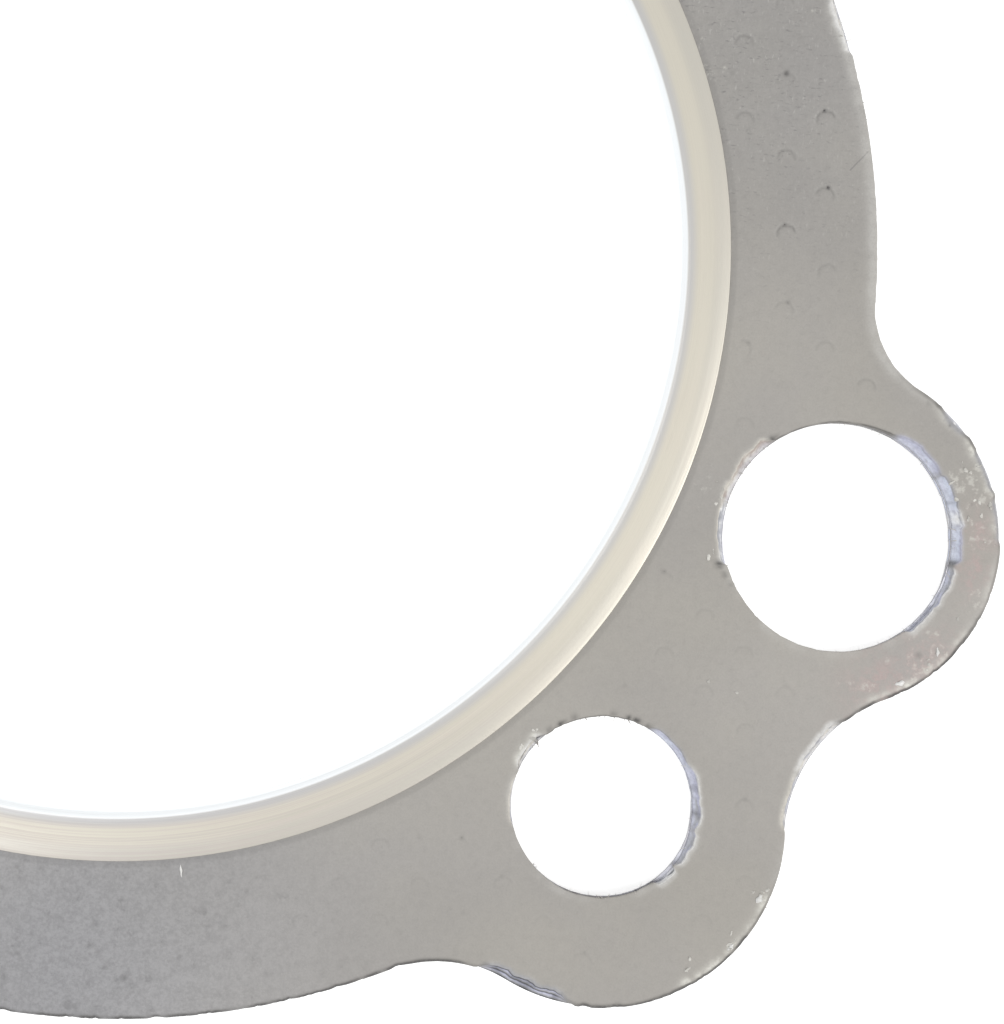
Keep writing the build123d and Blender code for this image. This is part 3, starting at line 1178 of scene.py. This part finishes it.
def makeRingMaterial():
    f = ringFinish
    material, w, shader, place = newMaterial("satinRingSteel")
    x, y, z = w.split(place)
    radius = w.times(w.maths("SQRT", w.plus(w.times(x, x), w.times(y, y))), 1000.0)
    angle = w.maths("ARCTAN2", y, x)
    sine, cosine = w.maths("SINE", angle), w.maths("COSINE", angle)
    around = [w.times(part, f["streakTurn"]) for part in (sine, cosine)]
    hoop = w.vector(w.maths("DIVIDE", radius, f["streakSize"]), *around)
    streaks = w.noise(hoop, 1.0, 3.0, 0.6)
    broad = w.noise(hoop, 0.16, 2.0, 0.5)
    blotch = w.group(blotchGroup, Vector=place, Size=f["blotchSize"])["Value"]
    grain = w.group(grainGroup, Vector=place, Size=f["grainSize"], Pits=0.0)["Value"]
    colour = w.blend(w.remap(radius, *f["rimBlend"]), f["face"], f["rim"])

    # heat has tinted the ring in hoops towards -Y, and less all round
    heated = w.remap(w.times(sine, -1.0), 0.55, 1.0, 0.15, 1.0)
    rosy = w.times(w.remap(streaks, 0.42, 0.60), heated)
    colour = w.blend(w.times(rosy, f["roseShare"]), colour, f["rose"])
    dulled = w.times(w.remap(broad, 0.48, 0.74), heated)
    colour = w.blend(w.times(dulled, f["stainShare"]), colour, f["stain"])
    colour = w.blend(w.remap(blotch, 0.4, 0.7, 0.0, f["amberShare"]), colour, f["amber"])
    # painted shade in the crease beside the fold
    crease = w.times(w.remap(radius, *f["creaseBlend"]), w.remap(radius, *f["creaseEnd"]))
    colour = w.blend(w.times(crease, f["creaseShadeShare"]), colour, f["crease"])
    colour = w.blend(w.remap(radius, *f["foldBlend"]), colour, f["fold"])
    # painted shade on the bore wall
    colour = w.blend(w.remap(radius, *f["wallBlend"]), colour, f["wall"])
    streaky = w.times(w.remap(streaks, 0.45, 0.62), w.plus(w.times(heated, 0.09), 0.02))
    w.put(shader["Base Color"], w.blend(streaky, colour, f["stain"]))
    w.put(shader["Roughness"], w.remap(streaks, 0.3, 0.7, f["roughness"] - 0.07, f["roughness"] + 0.10))
    w.put(shader["Metallic"], 1.0)
    addRelief(w, shader, w.plus(streaks, w.times(grain, 0.3)), 0.15, f["relief"])
    return material


def makeCoreMaterial():
    f = coreFinish
    material, w, shader, place = newMaterial("coldRolledCoreSteel")
    grain = w.group(grainGroup, Vector=place, Size=f["grainSize"], Pits=0.2)
    blotch = w.group(blotchGroup, Vector=place, Size=f["blotchSize"])["Value"]
    colour = w.blend(w.remap(blotch, 0.4, 0.7), f["steel"], f["stain"])
    colour = w.blend(w.times(grain["Pitted"], 0.8), colour, f["pit"])
    upright = w.split(w.node("ShaderNodeNewGeometry").outputs["True Normal"])["Z"]
    sheared = w.remap(w.maths("ABSOLUTE", upright), 0.6, 0.3)  # painted shade: the upright cut edges are darkened
    w.put(shader["Base Color"], w.blend(w.times(sheared, 0.75), colour, f["sheared"]))
    w.put(shader["Roughness"], w.remap(grain["Value"], 0.3, 0.7, f["roughness"] - 0.1, f["roughness"] + 0.15))
    w.put(shader["Metallic"], 0.9)
    addRelief(w, shader, grain["Height"], 0.3, f["relief"])
    return material


def makeFibreMaterial(name):
    dark, pale = fibreFinish[name]
    material, w, shader, place = newMaterial(name)
    grain = w.group(grainGroup, Vector=place, Size=0.5, Pits=0.0)["Value"]
    blotch = w.group(blotchGroup, Vector=place, Size=2.5)["Value"]
    colour = w.blend(w.remap(grain, 0.42, 0.58), dark, pale)
    w.put(shader["Base Color"], w.blend(w.remap(blotch, 0.52, 0.64, 0.0, 0.6), colour, dark))
    w.put(shader["Roughness"], w.remap(grain, 0.3, 0.7, 0.45, 0.75))
    return material


def makeTipMaterial():
    material, w, shader, place = newMaterial("sootedTangSteel")
    grain = w.group(grainGroup, Vector=place, Size=0.3, Pits=0.3)["Value"]
    w.put(shader["Base Color"], w.blend(grain, (0.05, 0.048, 0.05), (0.16, 0.15, 0.15)))
    w.put(shader["Roughness"], w.remap(grain, 0.3, 0.7, 0.35, 0.6))
    w.put(shader["Metallic"], 0.4)
    return material


facingMaterial = makeFacingMaterial()
fibreMaterial = makeFibreMaterial("frayedFibre")
chipMaterial = makeFibreMaterial("chippedFibre")
sliverMaterial = makeFibreMaterial("liftedSliver")
print("materials ready")

facingTop = makeFacing("facingTop", facingTopLook, facingMaterial, True)
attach(facingTop, "root")
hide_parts("facing_top")

facingBottom = makeFacing("facingBottom", facingBottomLook, facingMaterial, False)
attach(facingBottom, "root")
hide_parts("facing_bottom")

# The fire ring: a strip folded to a U round the bore
ringShape = {
    "boreRadius": 44.7,
    "rimRadius": 48.76,
    "gauge": 0.2,
    "height": 1.7,
    "foldRadius": 0.6,
    "foldSteps": 12,
    "innerFoldSteps": 6,
    # radius and share of the depth, across the crease where the flange was pressed down beside the fold
    "crease": (
        (45.42, 0.35),
        (45.52, 0.85),
        (45.62, 1.0),
        (45.74, 0.8),
        (45.9, 0.45),
        (46.1, 0.2),
        (46.4, 0.04),
    ),
    "creaseDepth": 0.022,
    "flatSteps": 4,
    "flatGap": 0.05,  # between the flat's last row and the shoulder
    "shoulderRadius": 47.55,
    "shoulderDrop": 0.12,
    "shoulderSteps": 8,
    "rimRounding": 0.035,
    "rimTurns": (35, 70, 90),
    "insideRadii": (48.0, 47.0, 46.0),
    "insideBevel": 0.02,
    "sway": 0.018,  # how far the rim wavers
    "swayLength": 14.0,
    "swayBlend": (46.0, 48.6),
    "segments": 720,
    "seed": 2.3,
}


# Half of the ring's section, outside and then inside, and its mirror image: radius and height
def ringProfile():
    s = ringShape
    top = s["height"] / 2
    fold = s["foldRadius"]
    edge = s["rimRounding"]
    flatStart = s["crease"][-1][0]
    outer = []
    for step in range(s["foldSteps"] + 1):
        turn = math.radians(90 * step / s["foldSteps"])
        outer.append((s["boreRadius"] + fold * (1 - math.cos(turn)), top - fold + fold * math.sin(turn)))
    for radius, dip in s["crease"]:
        outer.append((radius, top - s["creaseDepth"] * dip))
    for step in range(1, s["flatSteps"] + 1):
        radius = flatStart + (s["shoulderRadius"] - flatStart) * step / s["flatSteps"] - s["flatGap"]
        outer.append((radius, top))
    width = s["rimRadius"] - edge - s["shoulderRadius"]
    for step in range(1, s["shoulderSteps"] + 1):
        t = step / s["shoulderSteps"]
        outer.append((s["shoulderRadius"] + width * t, top - s["shoulderDrop"] * (0.25 * t + 0.75 * t * t)))
    for degrees in s["rimTurns"]:
        turn = math.radians(degrees)
        height = top - s["shoulderDrop"] - edge * (1 - math.cos(turn))
        outer.append((s["rimRadius"] - edge + edge * math.sin(turn), height))
    low = top - s["gauge"]
    bevel = s["insideBevel"]
    inner = [(s["rimRadius"], low + bevel), (s["rimRadius"] - bevel, low)]
    inner += [(radius, low) for radius in s["insideRadii"]]
    bend = fold - s["gauge"]
    for step in range(s["innerFoldSteps"], -1, -1):
        turn = math.radians(90 * step / s["innerFoldSteps"])
        inner.append((s["boreRadius"] + fold - bend * math.cos(turn), top - fold + bend * math.sin(turn)))
    upper = outer + inner
    return upper + [(radius, -height) for radius, height in reversed(upper)]


def makeRing(material):
    s = ringShape
    profile = ringProfile()
    around = np.linspace(0, 2 * math.pi, s["segments"], endpoint=False)
    circle = np.column_stack([np.cos(around), np.sin(around)])
    sway = noiseAt(circle * 50, s["swayLength"], s["seed"], 3) * s["sway"]
    vertices, faces = [], []
    for (x, y), drawn in zip(circle, sway):
        for r, h in profile:
            reach = r - abs(drawn) * smooth(*s["swayBlend"], r)
            vertices.append((reach * x, reach * y, s["height"] / 2 + h))
    count = len(profile)
    for i in range(s["segments"]):
        j = (i + 1) % s["segments"]
        for k in range(count):
            m = (k + 1) % count
            faces.append((i * count + k, j * count + k, j * count + m, i * count + m))
    print("fire ring built with", len(faces), "faces")
    return newObject("fireRing", np.array(vertices) * mm, faces, material)


fireRing = makeRing(makeRingMaterial())
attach(fireRing, "root")
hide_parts("fire_ring")

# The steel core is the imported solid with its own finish
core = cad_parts["steel_core"]
core.data.materials.clear()
core.data.materials.append(makeCoreMaterial())
print("steel core dressed")

# Loose detail, scattered by geometry nodes
chipScatter = {
    "size": 0.16,  # half length
    "lengths": (0.5, 1.8),  # least and most, as shares of the size
    "widths": (0.35, 1.0),
    "tilt": 0.25,  # radians
    "flatness": 0.32,
    "warp": 0.07,  # how far a chip's corners stray
    "lift": 0.004,
    "cell": 0.5,  # of the patches that carry the chips
    "fading": 0.7,  # how much fewer there are at a patch's edge
    "edgeGap": 0.55,
    "innerRadius": 50.2,
    "seed": 5,
    # place and reach on the facing, and chips to the square millimetre
    "patches": [
        ((69.6, -13.4), 2.6, 1.0),
        ((70.8, -16.8), 2.2, 0.9),
        ((70.4, -25.0), 2.0, 0.8),
        ((65.6, -30.6), 2.4, 1.1),
        ((67.6, -28.6), 2.2, 1.0),
        ((57.0, 21.6), 1.4, 2.0),
        ((35.5, -36.9), 1.5, 4.0),
        ((49.9, -15.6), 1.6, 1.2),
        ((49.4, -20.4), 1.2, 1.4),
        ((54.6, -47.8), 1.1, 2.4),
        ((52.4, -51.9), 1.3, 1.6),
        ((49.8, -54.2), 1.2, 1.8),
        ((50.7, -32.3), 2.6, 0.12),
        ((39.9, -30.7), 1.6, 0.15),
        ((-62.0, -25.0), 6.0, 0.12),
        ((-44.0, 42.0), 9.0, 0.06),
        ((40.0, 44.0), 9.0, 0.06),
    ],
}

# Single slivers lifted from the face: place, length and width, and the way they lie
slivers = [
    ((8.62, -49.0), 1.0, 0.15, 99),
    ((64.5, -30.0), 0.80, 0.34, 20),
    ((67.3, -27.3), 0.75, 0.20, 95),
    ((54.6, -47.9), 0.80, 0.40, 60),
    ((52.6, -51.9), 0.70, 0.26, 50),
]
sliverShape = {
    "steps": 9,
    "thickness": 0.03,
    "clearance": 0.012,
    "lift": 0.05,
    "point": 0.12,  # share of the width that is left at the ends
    "bow": 0.10,
    "uneven": 0.25,
}

fibreScatter = {
    "length": 0.36,
    "thickness": 0.026,
    "perMillimetre": 1.1,
    "heights": (1.30, 0.5),  # above the floor, of the walls that the fibres stand on
    "sink": 0.10,  # of their roots behind the edge
    "rimShare": 0.06,
    "holeShare": 0.25,
    # place and reach along the edge, and how much thicker the tuft is
    "tufts": [
        ((40.9, -34.4), 3.4, 1.2),
        ((35.4, -37.2), 1.6, 0.6),
        ((50.6, -15.0), 3.2, 1.0),
        ((67.9, -19.4), 2.6, 1.0),
        ((57.0, 21.9), 1.8, 1.6),
        ((69.9, -25.0), 2.2, 1.0),
    ],
}

# Burrs are the same fibres, thicker and closer to the face
burrScatter = {
    "length": 0.36,
    "thickness": 0.06,
    "perMillimetre": 1.2,
    "heights": (1.50, 1.36),
    "sink": 0.10,
    "rimShare": 0.0,
    "holeShare": 0.0,
    "tufts": [
        ((42.3, -48.4), 0.9, 5.0),
        ((44.8, -47.7), 0.5, 5.0),
        ((46.0, -46.8), 0.5, 3.0),
        ((36.3, -37.1), 1.2, 0.8),
        ((39.9, -34.9), 1.8, 0.8),
        ((43.2, -34.9), 1.4, 1.0),
        ((65.6, -8.2), 1.2, 0.8),
        ((-47.0, -35.6), 0.9, 3.0),
    ],
}

# One fibre before it is scaled by its length: a bent, tapering line from its root at the edge
fibreShape = {
    "start": (-0.3, 0, 0),
    "middle": (0.4, 0.10, 0.05),
    "end": (1.0, 0.42, 0.12),
    "bends": 4,
    "sides": 5,
    "taper": 0.25,
    "lengths": (0.35, 1.5),
}

tangTips = {
    "radius": 0.11,
    "depth": 0.4,  # of the dimple, as a share of its radius
    "least": 0.25,  # dots fainter than this stay hidden
    "sink": 0.035,  # below the face
}


class GeometryTree(Wiring):
    def __init__(self, name, inputs):
        super().__init__(bpy.data.node_groups.new(name, "GeometryNodeTree"))
        newSocket = self.tree.interface.new_socket
        for socketName, kind in {"Geometry": "Geometry", **inputs, "Finish": "Material"}.items():
            newSocket(socketName, in_out="INPUT", socket_type="NodeSocket" + kind)
        newSocket("Geometry", in_out="OUTPUT", socket_type="NodeSocketGeometry")
        self.inputs = self.node("NodeGroupInput").outputs

    # Adds a geometry node and gives its first output
    def step(self, kind, sockets, **settings):
        return self.node("GeometryNode" + kind, sockets, **settings).outputs[0]

    def attribute(self, name, kind="FLOAT"):
        return self.step("InputNamedAttribute", {"Name": name}, data_type=kind)

    def random(self, low, high, seed):
        sockets = {2: low, 3: high, "Seed": seed}
        return self.node("FunctionNodeRandomValue", sockets, data_type="FLOAT").outputs[1]

    def rotation(self, x, y, z):
        return self.node("FunctionNodeEulerToRotation", {0: self.vector(x, y, z)}).outputs[0]

    def isMore(self, first, second):
        settings = {"data_type": "FLOAT", "operation": "GREATER_THAN"}
        return self.node("FunctionNodeCompare", {0: first, 1: second}, **settings).outputs[0]

    # Realizes the instances, gives the finish and ends the tree
    def close(self, geometry):
        real = self.step("RealizeInstances", {0: geometry})
        finished = self.step("SetMaterial", {"Geometry": real, "Material": self.inputs["Finish"]})
        self.node("NodeGroupOutput", {0: finished})
        return self.tree


# Chips strewn over patches that hold their density
def makeChipTree():
    t = GeometryTree("strewnChips", {"Size": "Float", "Flatness": "Float", "Warp": "Float", "Seed": "Int"})
    strewn = t.step("DistributePointsOnFaces", {
        "Mesh": t.inputs["Geometry"],
        "Density": t.attribute("density"),
        "Seed": t.inputs["Seed"],
    }, distribute_method="RANDOM")
    size = t.inputs["Size"]
    tilt = chipScatter["tilt"]
    long = t.times(size, t.random(*chipScatter["lengths"], 1))
    wide = t.times(size, t.random(*chipScatter["widths"], 2))
    chips = t.step("InstanceOnPoints", {
        "Points": strewn,
        "Instance": t.step("MeshIcoSphere", {"Radius": 1.0, "Subdivisions": 2}),
        "Rotation": t.rotation(t.random(-tilt, tilt, 3), t.random(-tilt, tilt, 4), t.random(0.0, 6.283, 5)),
        "Scale": t.vector(long, wide, t.times(size, t.inputs["Flatness"])),
    })
    stray = t.node("ShaderNodeTexNoise", {"Scale": 6500.0}, noise_dimensions="3D").outputs["Color"]
    centred = t.vectorMaths("SUBTRACT", stray, (0.5, 0.5, 0.5))
    double = t.times(t.inputs["Warp"], 4.0)
    offset = t.vectorMaths("MULTIPLY", centred, t.vector(double, double, t.times(double, 0.2)))
    loose = t.step("RealizeInstances", {0: chips})
    return t.close(t.step("SetPosition", {"Geometry": loose, "Offset": offset}))


# Bent fibres that stand out of an edge along its outward direction
def makeFibreTree():
    s = fibreShape
    t = GeometryTree("edgeFibres", {"Length": "Float", "Thickness": "Float", "Spacing": "Float"})
    line = t.step("MeshToCurve", {"Mesh": t.inputs["Geometry"]})
    roots = t.step("CurveToPoints", {"Curve": line, "Length": t.inputs["Spacing"]}, mode="LENGTH")
    sparse = t.isMore(t.random(0.0, 6.0, 11), t.attribute("density"))
    roots = t.step("DeleteGeometry", {"Geometry": roots, "Selection": sparse}, domain="POINT")
    bend = t.step("CurveQuadraticBezier", {
        "Resolution": s["bends"],
        "Start": s["start"],
        "Middle": s["middle"],
        "End": s["end"],
    })
    taper = t.remap(t.step("SplineParameter", {}), 0.0, 1.0, 1.0, s["taper"])
    radius = t.maths("DIVIDE", t.inputs["Thickness"], t.inputs["Length"])
    outline = t.step("CurvePrimitiveCircle", {"Resolution": s["sides"], "Radius": radius}, mode="RADIUS")
    fibre = t.step("CurveToMesh", {
        "Curve": t.step("SetCurveRadius", {"Curve": bend, "Radius": taper}),
        "Profile Curve": outline,
        "Scale": taper,
        "Fill Caps": True,
    })
    outward = t.attribute("outward", "FLOAT_VECTOR")
    aim = t.node("FunctionNodeAlignRotationToVector", {"Vector": outward}, axis="X").outputs[0]
    lean = t.rotation(t.random(0.0, 6.283, 12), t.random(-0.3, 0.4, 13), t.random(-0.6, 0.6, 14))
    aim = t.node("FunctionNodeRotateRotation", {0: aim, 1: lean}, rotation_space="LOCAL").outputs[0]
    size = t.times(t.inputs["Length"], t.random(*s["lengths"], 15))
    return t.close(t.step("InstanceOnPoints", {
        "Points": roots,
        "Instance": fibre,
        "Rotation": aim,
        "Scale": t.vector(size, size, size),
    }))


# A small dark tip of a lanced tang at each place, as wide as its dot is strong
def makeTipTree():
    t = GeometryTree("tangTips", {"Radius": "Float", "Depth": "Float", "Least": "Float"})
    dot = t.attribute("dot")
    seen = t.isMore(dot, t.inputs["Least"])
    wide = t.times(t.inputs["Radius"], dot)
    return t.close(t.step("InstanceOnPoints", {
        "Points": t.step("MeshToPoints", {"Mesh": t.inputs["Geometry"], "Selection": seen}, mode="VERTICES"),
        "Instance": t.step("MeshIcoSphere", {"Radius": 1.0, "Subdivisions": 2}),
        "Scale": t.vector(wide, t.times(wide, 0.8), t.times(wide, t.inputs["Depth"])),
    }))


# Grows a piece from a tree on a carrier, a mesh that only holds points, lines or patches and their attributes
def growPiece(name, tree, settings, attributes, vertices, edges=(), faces=()):
    mesh = bpy.data.meshes.new(name + "Carrier")
    mesh.from_pydata([tuple(v) for v in np.array(vertices) * mm], edges, faces)
    for key, values in attributes.items():
        wide = isinstance(values[0], tuple)
        layer = mesh.attributes.new(key, "FLOAT_VECTOR" if wide else "FLOAT", "POINT")
        layer.data.foreach_set("vector" if wide else "value", np.array(values, np.float32).ravel())
    carrier = addObject(name + "Carrier", mesh)
    modifier = carrier.modifiers.new(name, "NODES")
    modifier.node_group = tree
    for item in tree.interface.items_tree:
        if item.in_out == "INPUT" and item.name in settings:
            modifier[item.identifier] = settings[item.name]
    bpy.context.view_layer.update()
    grown = bpy.data.meshes.new_from_object(carrier.evaluated_get(bpy.context.evaluated_depsgraph_get()))
    low, high = np.array(cadBounds[0]), np.array(cadBounds[1])
    for vertex in grown.vertices:
        vertex.co = Vector(np.clip(vertex.co, low, high))  # nothing stands out past the gasket's own size
    carrier.modifiers.remove(modifier)
    bpy.data.objects.remove(carrier)
    piece = addObject(name, grown)
    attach(piece, "root")
    print(name, "grown with", len(grown.polygons), "faces")


def scatterChips():
    s = chipScatter
    vertices, faces, density = [], [], []
    corners = ((-1, -1), (1, -1), (1, 1), (-1, 1))
    cell = s["cell"]
    half = cell / 2
    top = topFace + s["lift"]
    for (cx, cy), reach, perSquare in s["patches"]:
        steps = int(reach / cell) + 1
        for i in range(-steps, steps + 1):
            for j in range(-steps, steps + 1):
                x, y = cx + i * cell, cy + j * cell
                away = math.hypot(x - cx, y - cy) / reach
                if away > 1 or inwardAt(x, y) < s["edgeGap"] or math.hypot(x, y) < s["innerRadius"]:
                    continue
                start = len(vertices)
                vertices += [(x + half * sx, y + half * sy, top) for sx, sy in corners]
                density += [perSquare * 1e6 * (1 - s["fading"] * away)] * 4
                faces.append((start, start + 1, start + 2, start + 3))
    settings = {"Size": s["size"] * mm, "Flatness": s["flatness"], "Warp": s["warp"] * mm, "Seed": s["seed"]}
    settings["Finish"] = chipMaterial
    growPiece("facingChips", makeChipTree(), settings, {"density": density}, vertices, faces=faces)


# Thin bowed leaves with pointed ends
def laySlivers():
    s = sliverShape
    vertices, faces = [], []
    steps = s["steps"]
    for (cx, cy), length, width, degrees in slivers:
        angle = math.radians(degrees)
        start = len(vertices)
        for step in range(steps):
            t = step / (steps - 1)
            x = (t - 0.5) * length
            half = 0.5 * width * (s["point"] + math.sin(math.pi * t) ** 0.7)
            half *= 1 + s["uneven"] * math.sin(9 * t + cx)
            bow = s["bow"] * width * math.sin(3 * math.pi * t)
            low = topFace + s["clearance"] + s["lift"] * math.sin(math.pi * t) - s["thickness"]
            for side, rise in ((-1, 0.0), (1, 0.0), (1, s["thickness"]), (-1, s["thickness"])):
                y = side * half + bow
                vertices.append((cx + x * math.cos(angle) - y * math.sin(angle),
                                 cy + x * math.sin(angle) + y * math.cos(angle), low + rise))
        for step in range(steps - 1):
            a = start + 4 * step
            for k in range(4):
                m = (k + 1) % 4
                faces.append((a + k, a + m, a + 4 + m, a + 4 + k))
        faces.append((start, start + 1, start + 2, start + 3))
        last = start + 4 * (steps - 1)
        faces.append((last + 3, last + 2, last + 1, last))
    piece = newObject("facingSlivers", np.array(vertices) * mm, faces, sliverMaterial)
    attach(piece, "root")
    print("slivers laid:", len(slivers))


def scatterFibres(name, s):
    vertices, lines, outwards, density = [], [], [], []
    for height in s["heights"]:
        for points, outward, kind in plateEdges(0.3):
            start = len(vertices)
            count = len(points)
            share = np.full(count, s[kind + "Share"])
            for place, reach, thicker in s["tufts"]:
                share = np.maximum(share, thicker * smooth(1.0, 0.3, distanceTo(place, points) / reach))
            vertices += [(x, y, height) for x, y in points - s["sink"] * outward]
            outwards += [(x, y, 0.0) for x, y in outward]
            density += list(share)
            lines += [(start + i, start + (i + 1) % count) for i in range(count)]
    settings = {
        "Length": s["length"] * mm,
        "Thickness": s["thickness"] * mm,
        "Spacing": mm / s["perMillimetre"] / 6,  # of the places that the density picks from
        "Finish": fibreMaterial,
    }
    growPiece(name, fibreTree, settings, {"outward": outwards, "density": density}, vertices, lines)


def placeTangTips():
    s = tangTips
    aside, rise = markShape["dotPlace"]
    vertices, dots = [], []
    for place, strength, dot, lean in tangMarks:
        x = place[0] + aside * math.cos(lean) - rise * math.sin(lean)
        y = place[1] + aside * math.sin(lean) + rise * math.cos(lean)
        underside = plate["coreLow"] - plate["facingDepth"]
        vertices += [(x, y, topFace - s["sink"]), (x, y, underside + s["sink"])]
        dots += [dot, dot]
    settings = {"Radius": s["radius"] * mm, "Depth": s["depth"], "Least": s["least"]}
    settings["Finish"] = makeTipMaterial()
    growPiece("tangTips", makeTipTree(), settings, {"dot": dots}, vertices)


fibreTree = makeFibreTree()
scatterChips()
laySlivers()
scatterFibres("edgeFibres", fibreScatter)
scatterFibres("edgeBurrs", burrScatter)
placeTangTips()


# Floor, light and camera; the floor and the lamps are in metres
studio = {
    "floorSize": 1.2,
    "floorColour": (0.93, 0.93, 0.93),
    "floorGlow": 0.55,
    "worldColour": (0.97, 0.985, 1.0),
    "worldStrength": 0.72,
    "rightLamp": {"place": (0.38, -0.14, 0.42), "size": 0.46, "power": 0.93, "colour": (1.0, 0.97, 0.92)},
    "leftLamp": {"place": (-0.30, -0.25, 0.38), "size": 0.25, "power": 0.3, "colour": (0.94, 0.96, 1.0)},
    "cameraAim": (31.98, -18.71),
    "cameraTurn": 4.15,
    "cameraHeight": 90.4,  # above the upper facing
    "lens": 40.0,
}


# One where the camera, a reflection or clear glass looks straight at the surface
def lookedAt(w):
    path = w.node("ShaderNodeLightPath").outputs
    seen = w.maths("MAXIMUM", path["Is Camera Ray"], path["Is Glossy Ray"])
    return w.maths("MAXIMUM", seen, path["Is Transmission Ray"])


def makeFloor():
    material, w, shader, place = newMaterial("paleFloor")
    w.put(shader["Base Color"], (*studio["floorColour"], 1))
    w.put(shader["Roughness"], 0.9)
    w.put(shader["Specular IOR Level"], 0.1)
    w.put(shader["Emission Color"], (1, 1, 1, 1))
    w.put(shader["Emission Strength"], w.times(lookedAt(w), studio["floorGlow"]))
    size = studio["floorSize"] / 2
    corners = [(-size, -size, 0), (size, -size, 0), (size, size, 0), (-size, size, 0)]
    newObject("floor", corners, [(0, 1, 2, 3)], material, flat=True)


def makeWorld():
    world = bpy.data.worlds.new("studioWorld")
    bpy.context.scene.world = world
    world.use_nodes = True
    world.node_tree.nodes.clear()
    w = Wiring(world.node_tree)
    soft = w.node("ShaderNodeBackground", {0: (*studio["worldColour"], 1), 1: studio["worldStrength"]})
    white = w.node("ShaderNodeBackground", {0: (1, 1, 1, 1), 1: 1.0})
    mix = w.node("ShaderNodeMixShader", {0: lookedAt(w), 1: soft.outputs[0], 2: white.outputs[0]})
    w.node("ShaderNodeOutputWorld", {"Surface": mix.outputs[0]})


def addLamp(name):
    settings = studio[name]
    lamp = bpy.data.lights.new(name, "AREA")
    lamp.shape = "DISK"
    lamp.size = settings["size"]
    lamp.energy = settings["power"]
    lamp.color = settings["colour"]
    holder = addObject(name, lamp)
    holder.location = settings["place"]
    holder.rotation_euler = (-Vector(settings["place"])).to_track_quat("-Z", "Y").to_euler()


def addCamera():
    camera = bpy.data.cameras.new("camera")
    camera.sensor_fit = "AUTO"
    camera.sensor_width = 36.0
    camera.lens = studio["lens"]
    camera.clip_start = 0.01
    camera.clip_end = 10.0
    holder = addObject("camera", camera)
    aimX, aimY = studio["cameraAim"]
    holder.location = (aimX * mm, aimY * mm, (topFace + studio["cameraHeight"]) * mm)
    holder.rotation_euler = (0, 0, math.radians(studio["cameraTurn"]))
    bpy.context.scene.camera = holder


makeFloor()
makeWorld()
addLamp("rightLamp")
addLamp("leftLamp")
addCamera()
bpy.context.scene.view_settings.view_transform = "Standard"
print("studio ready")
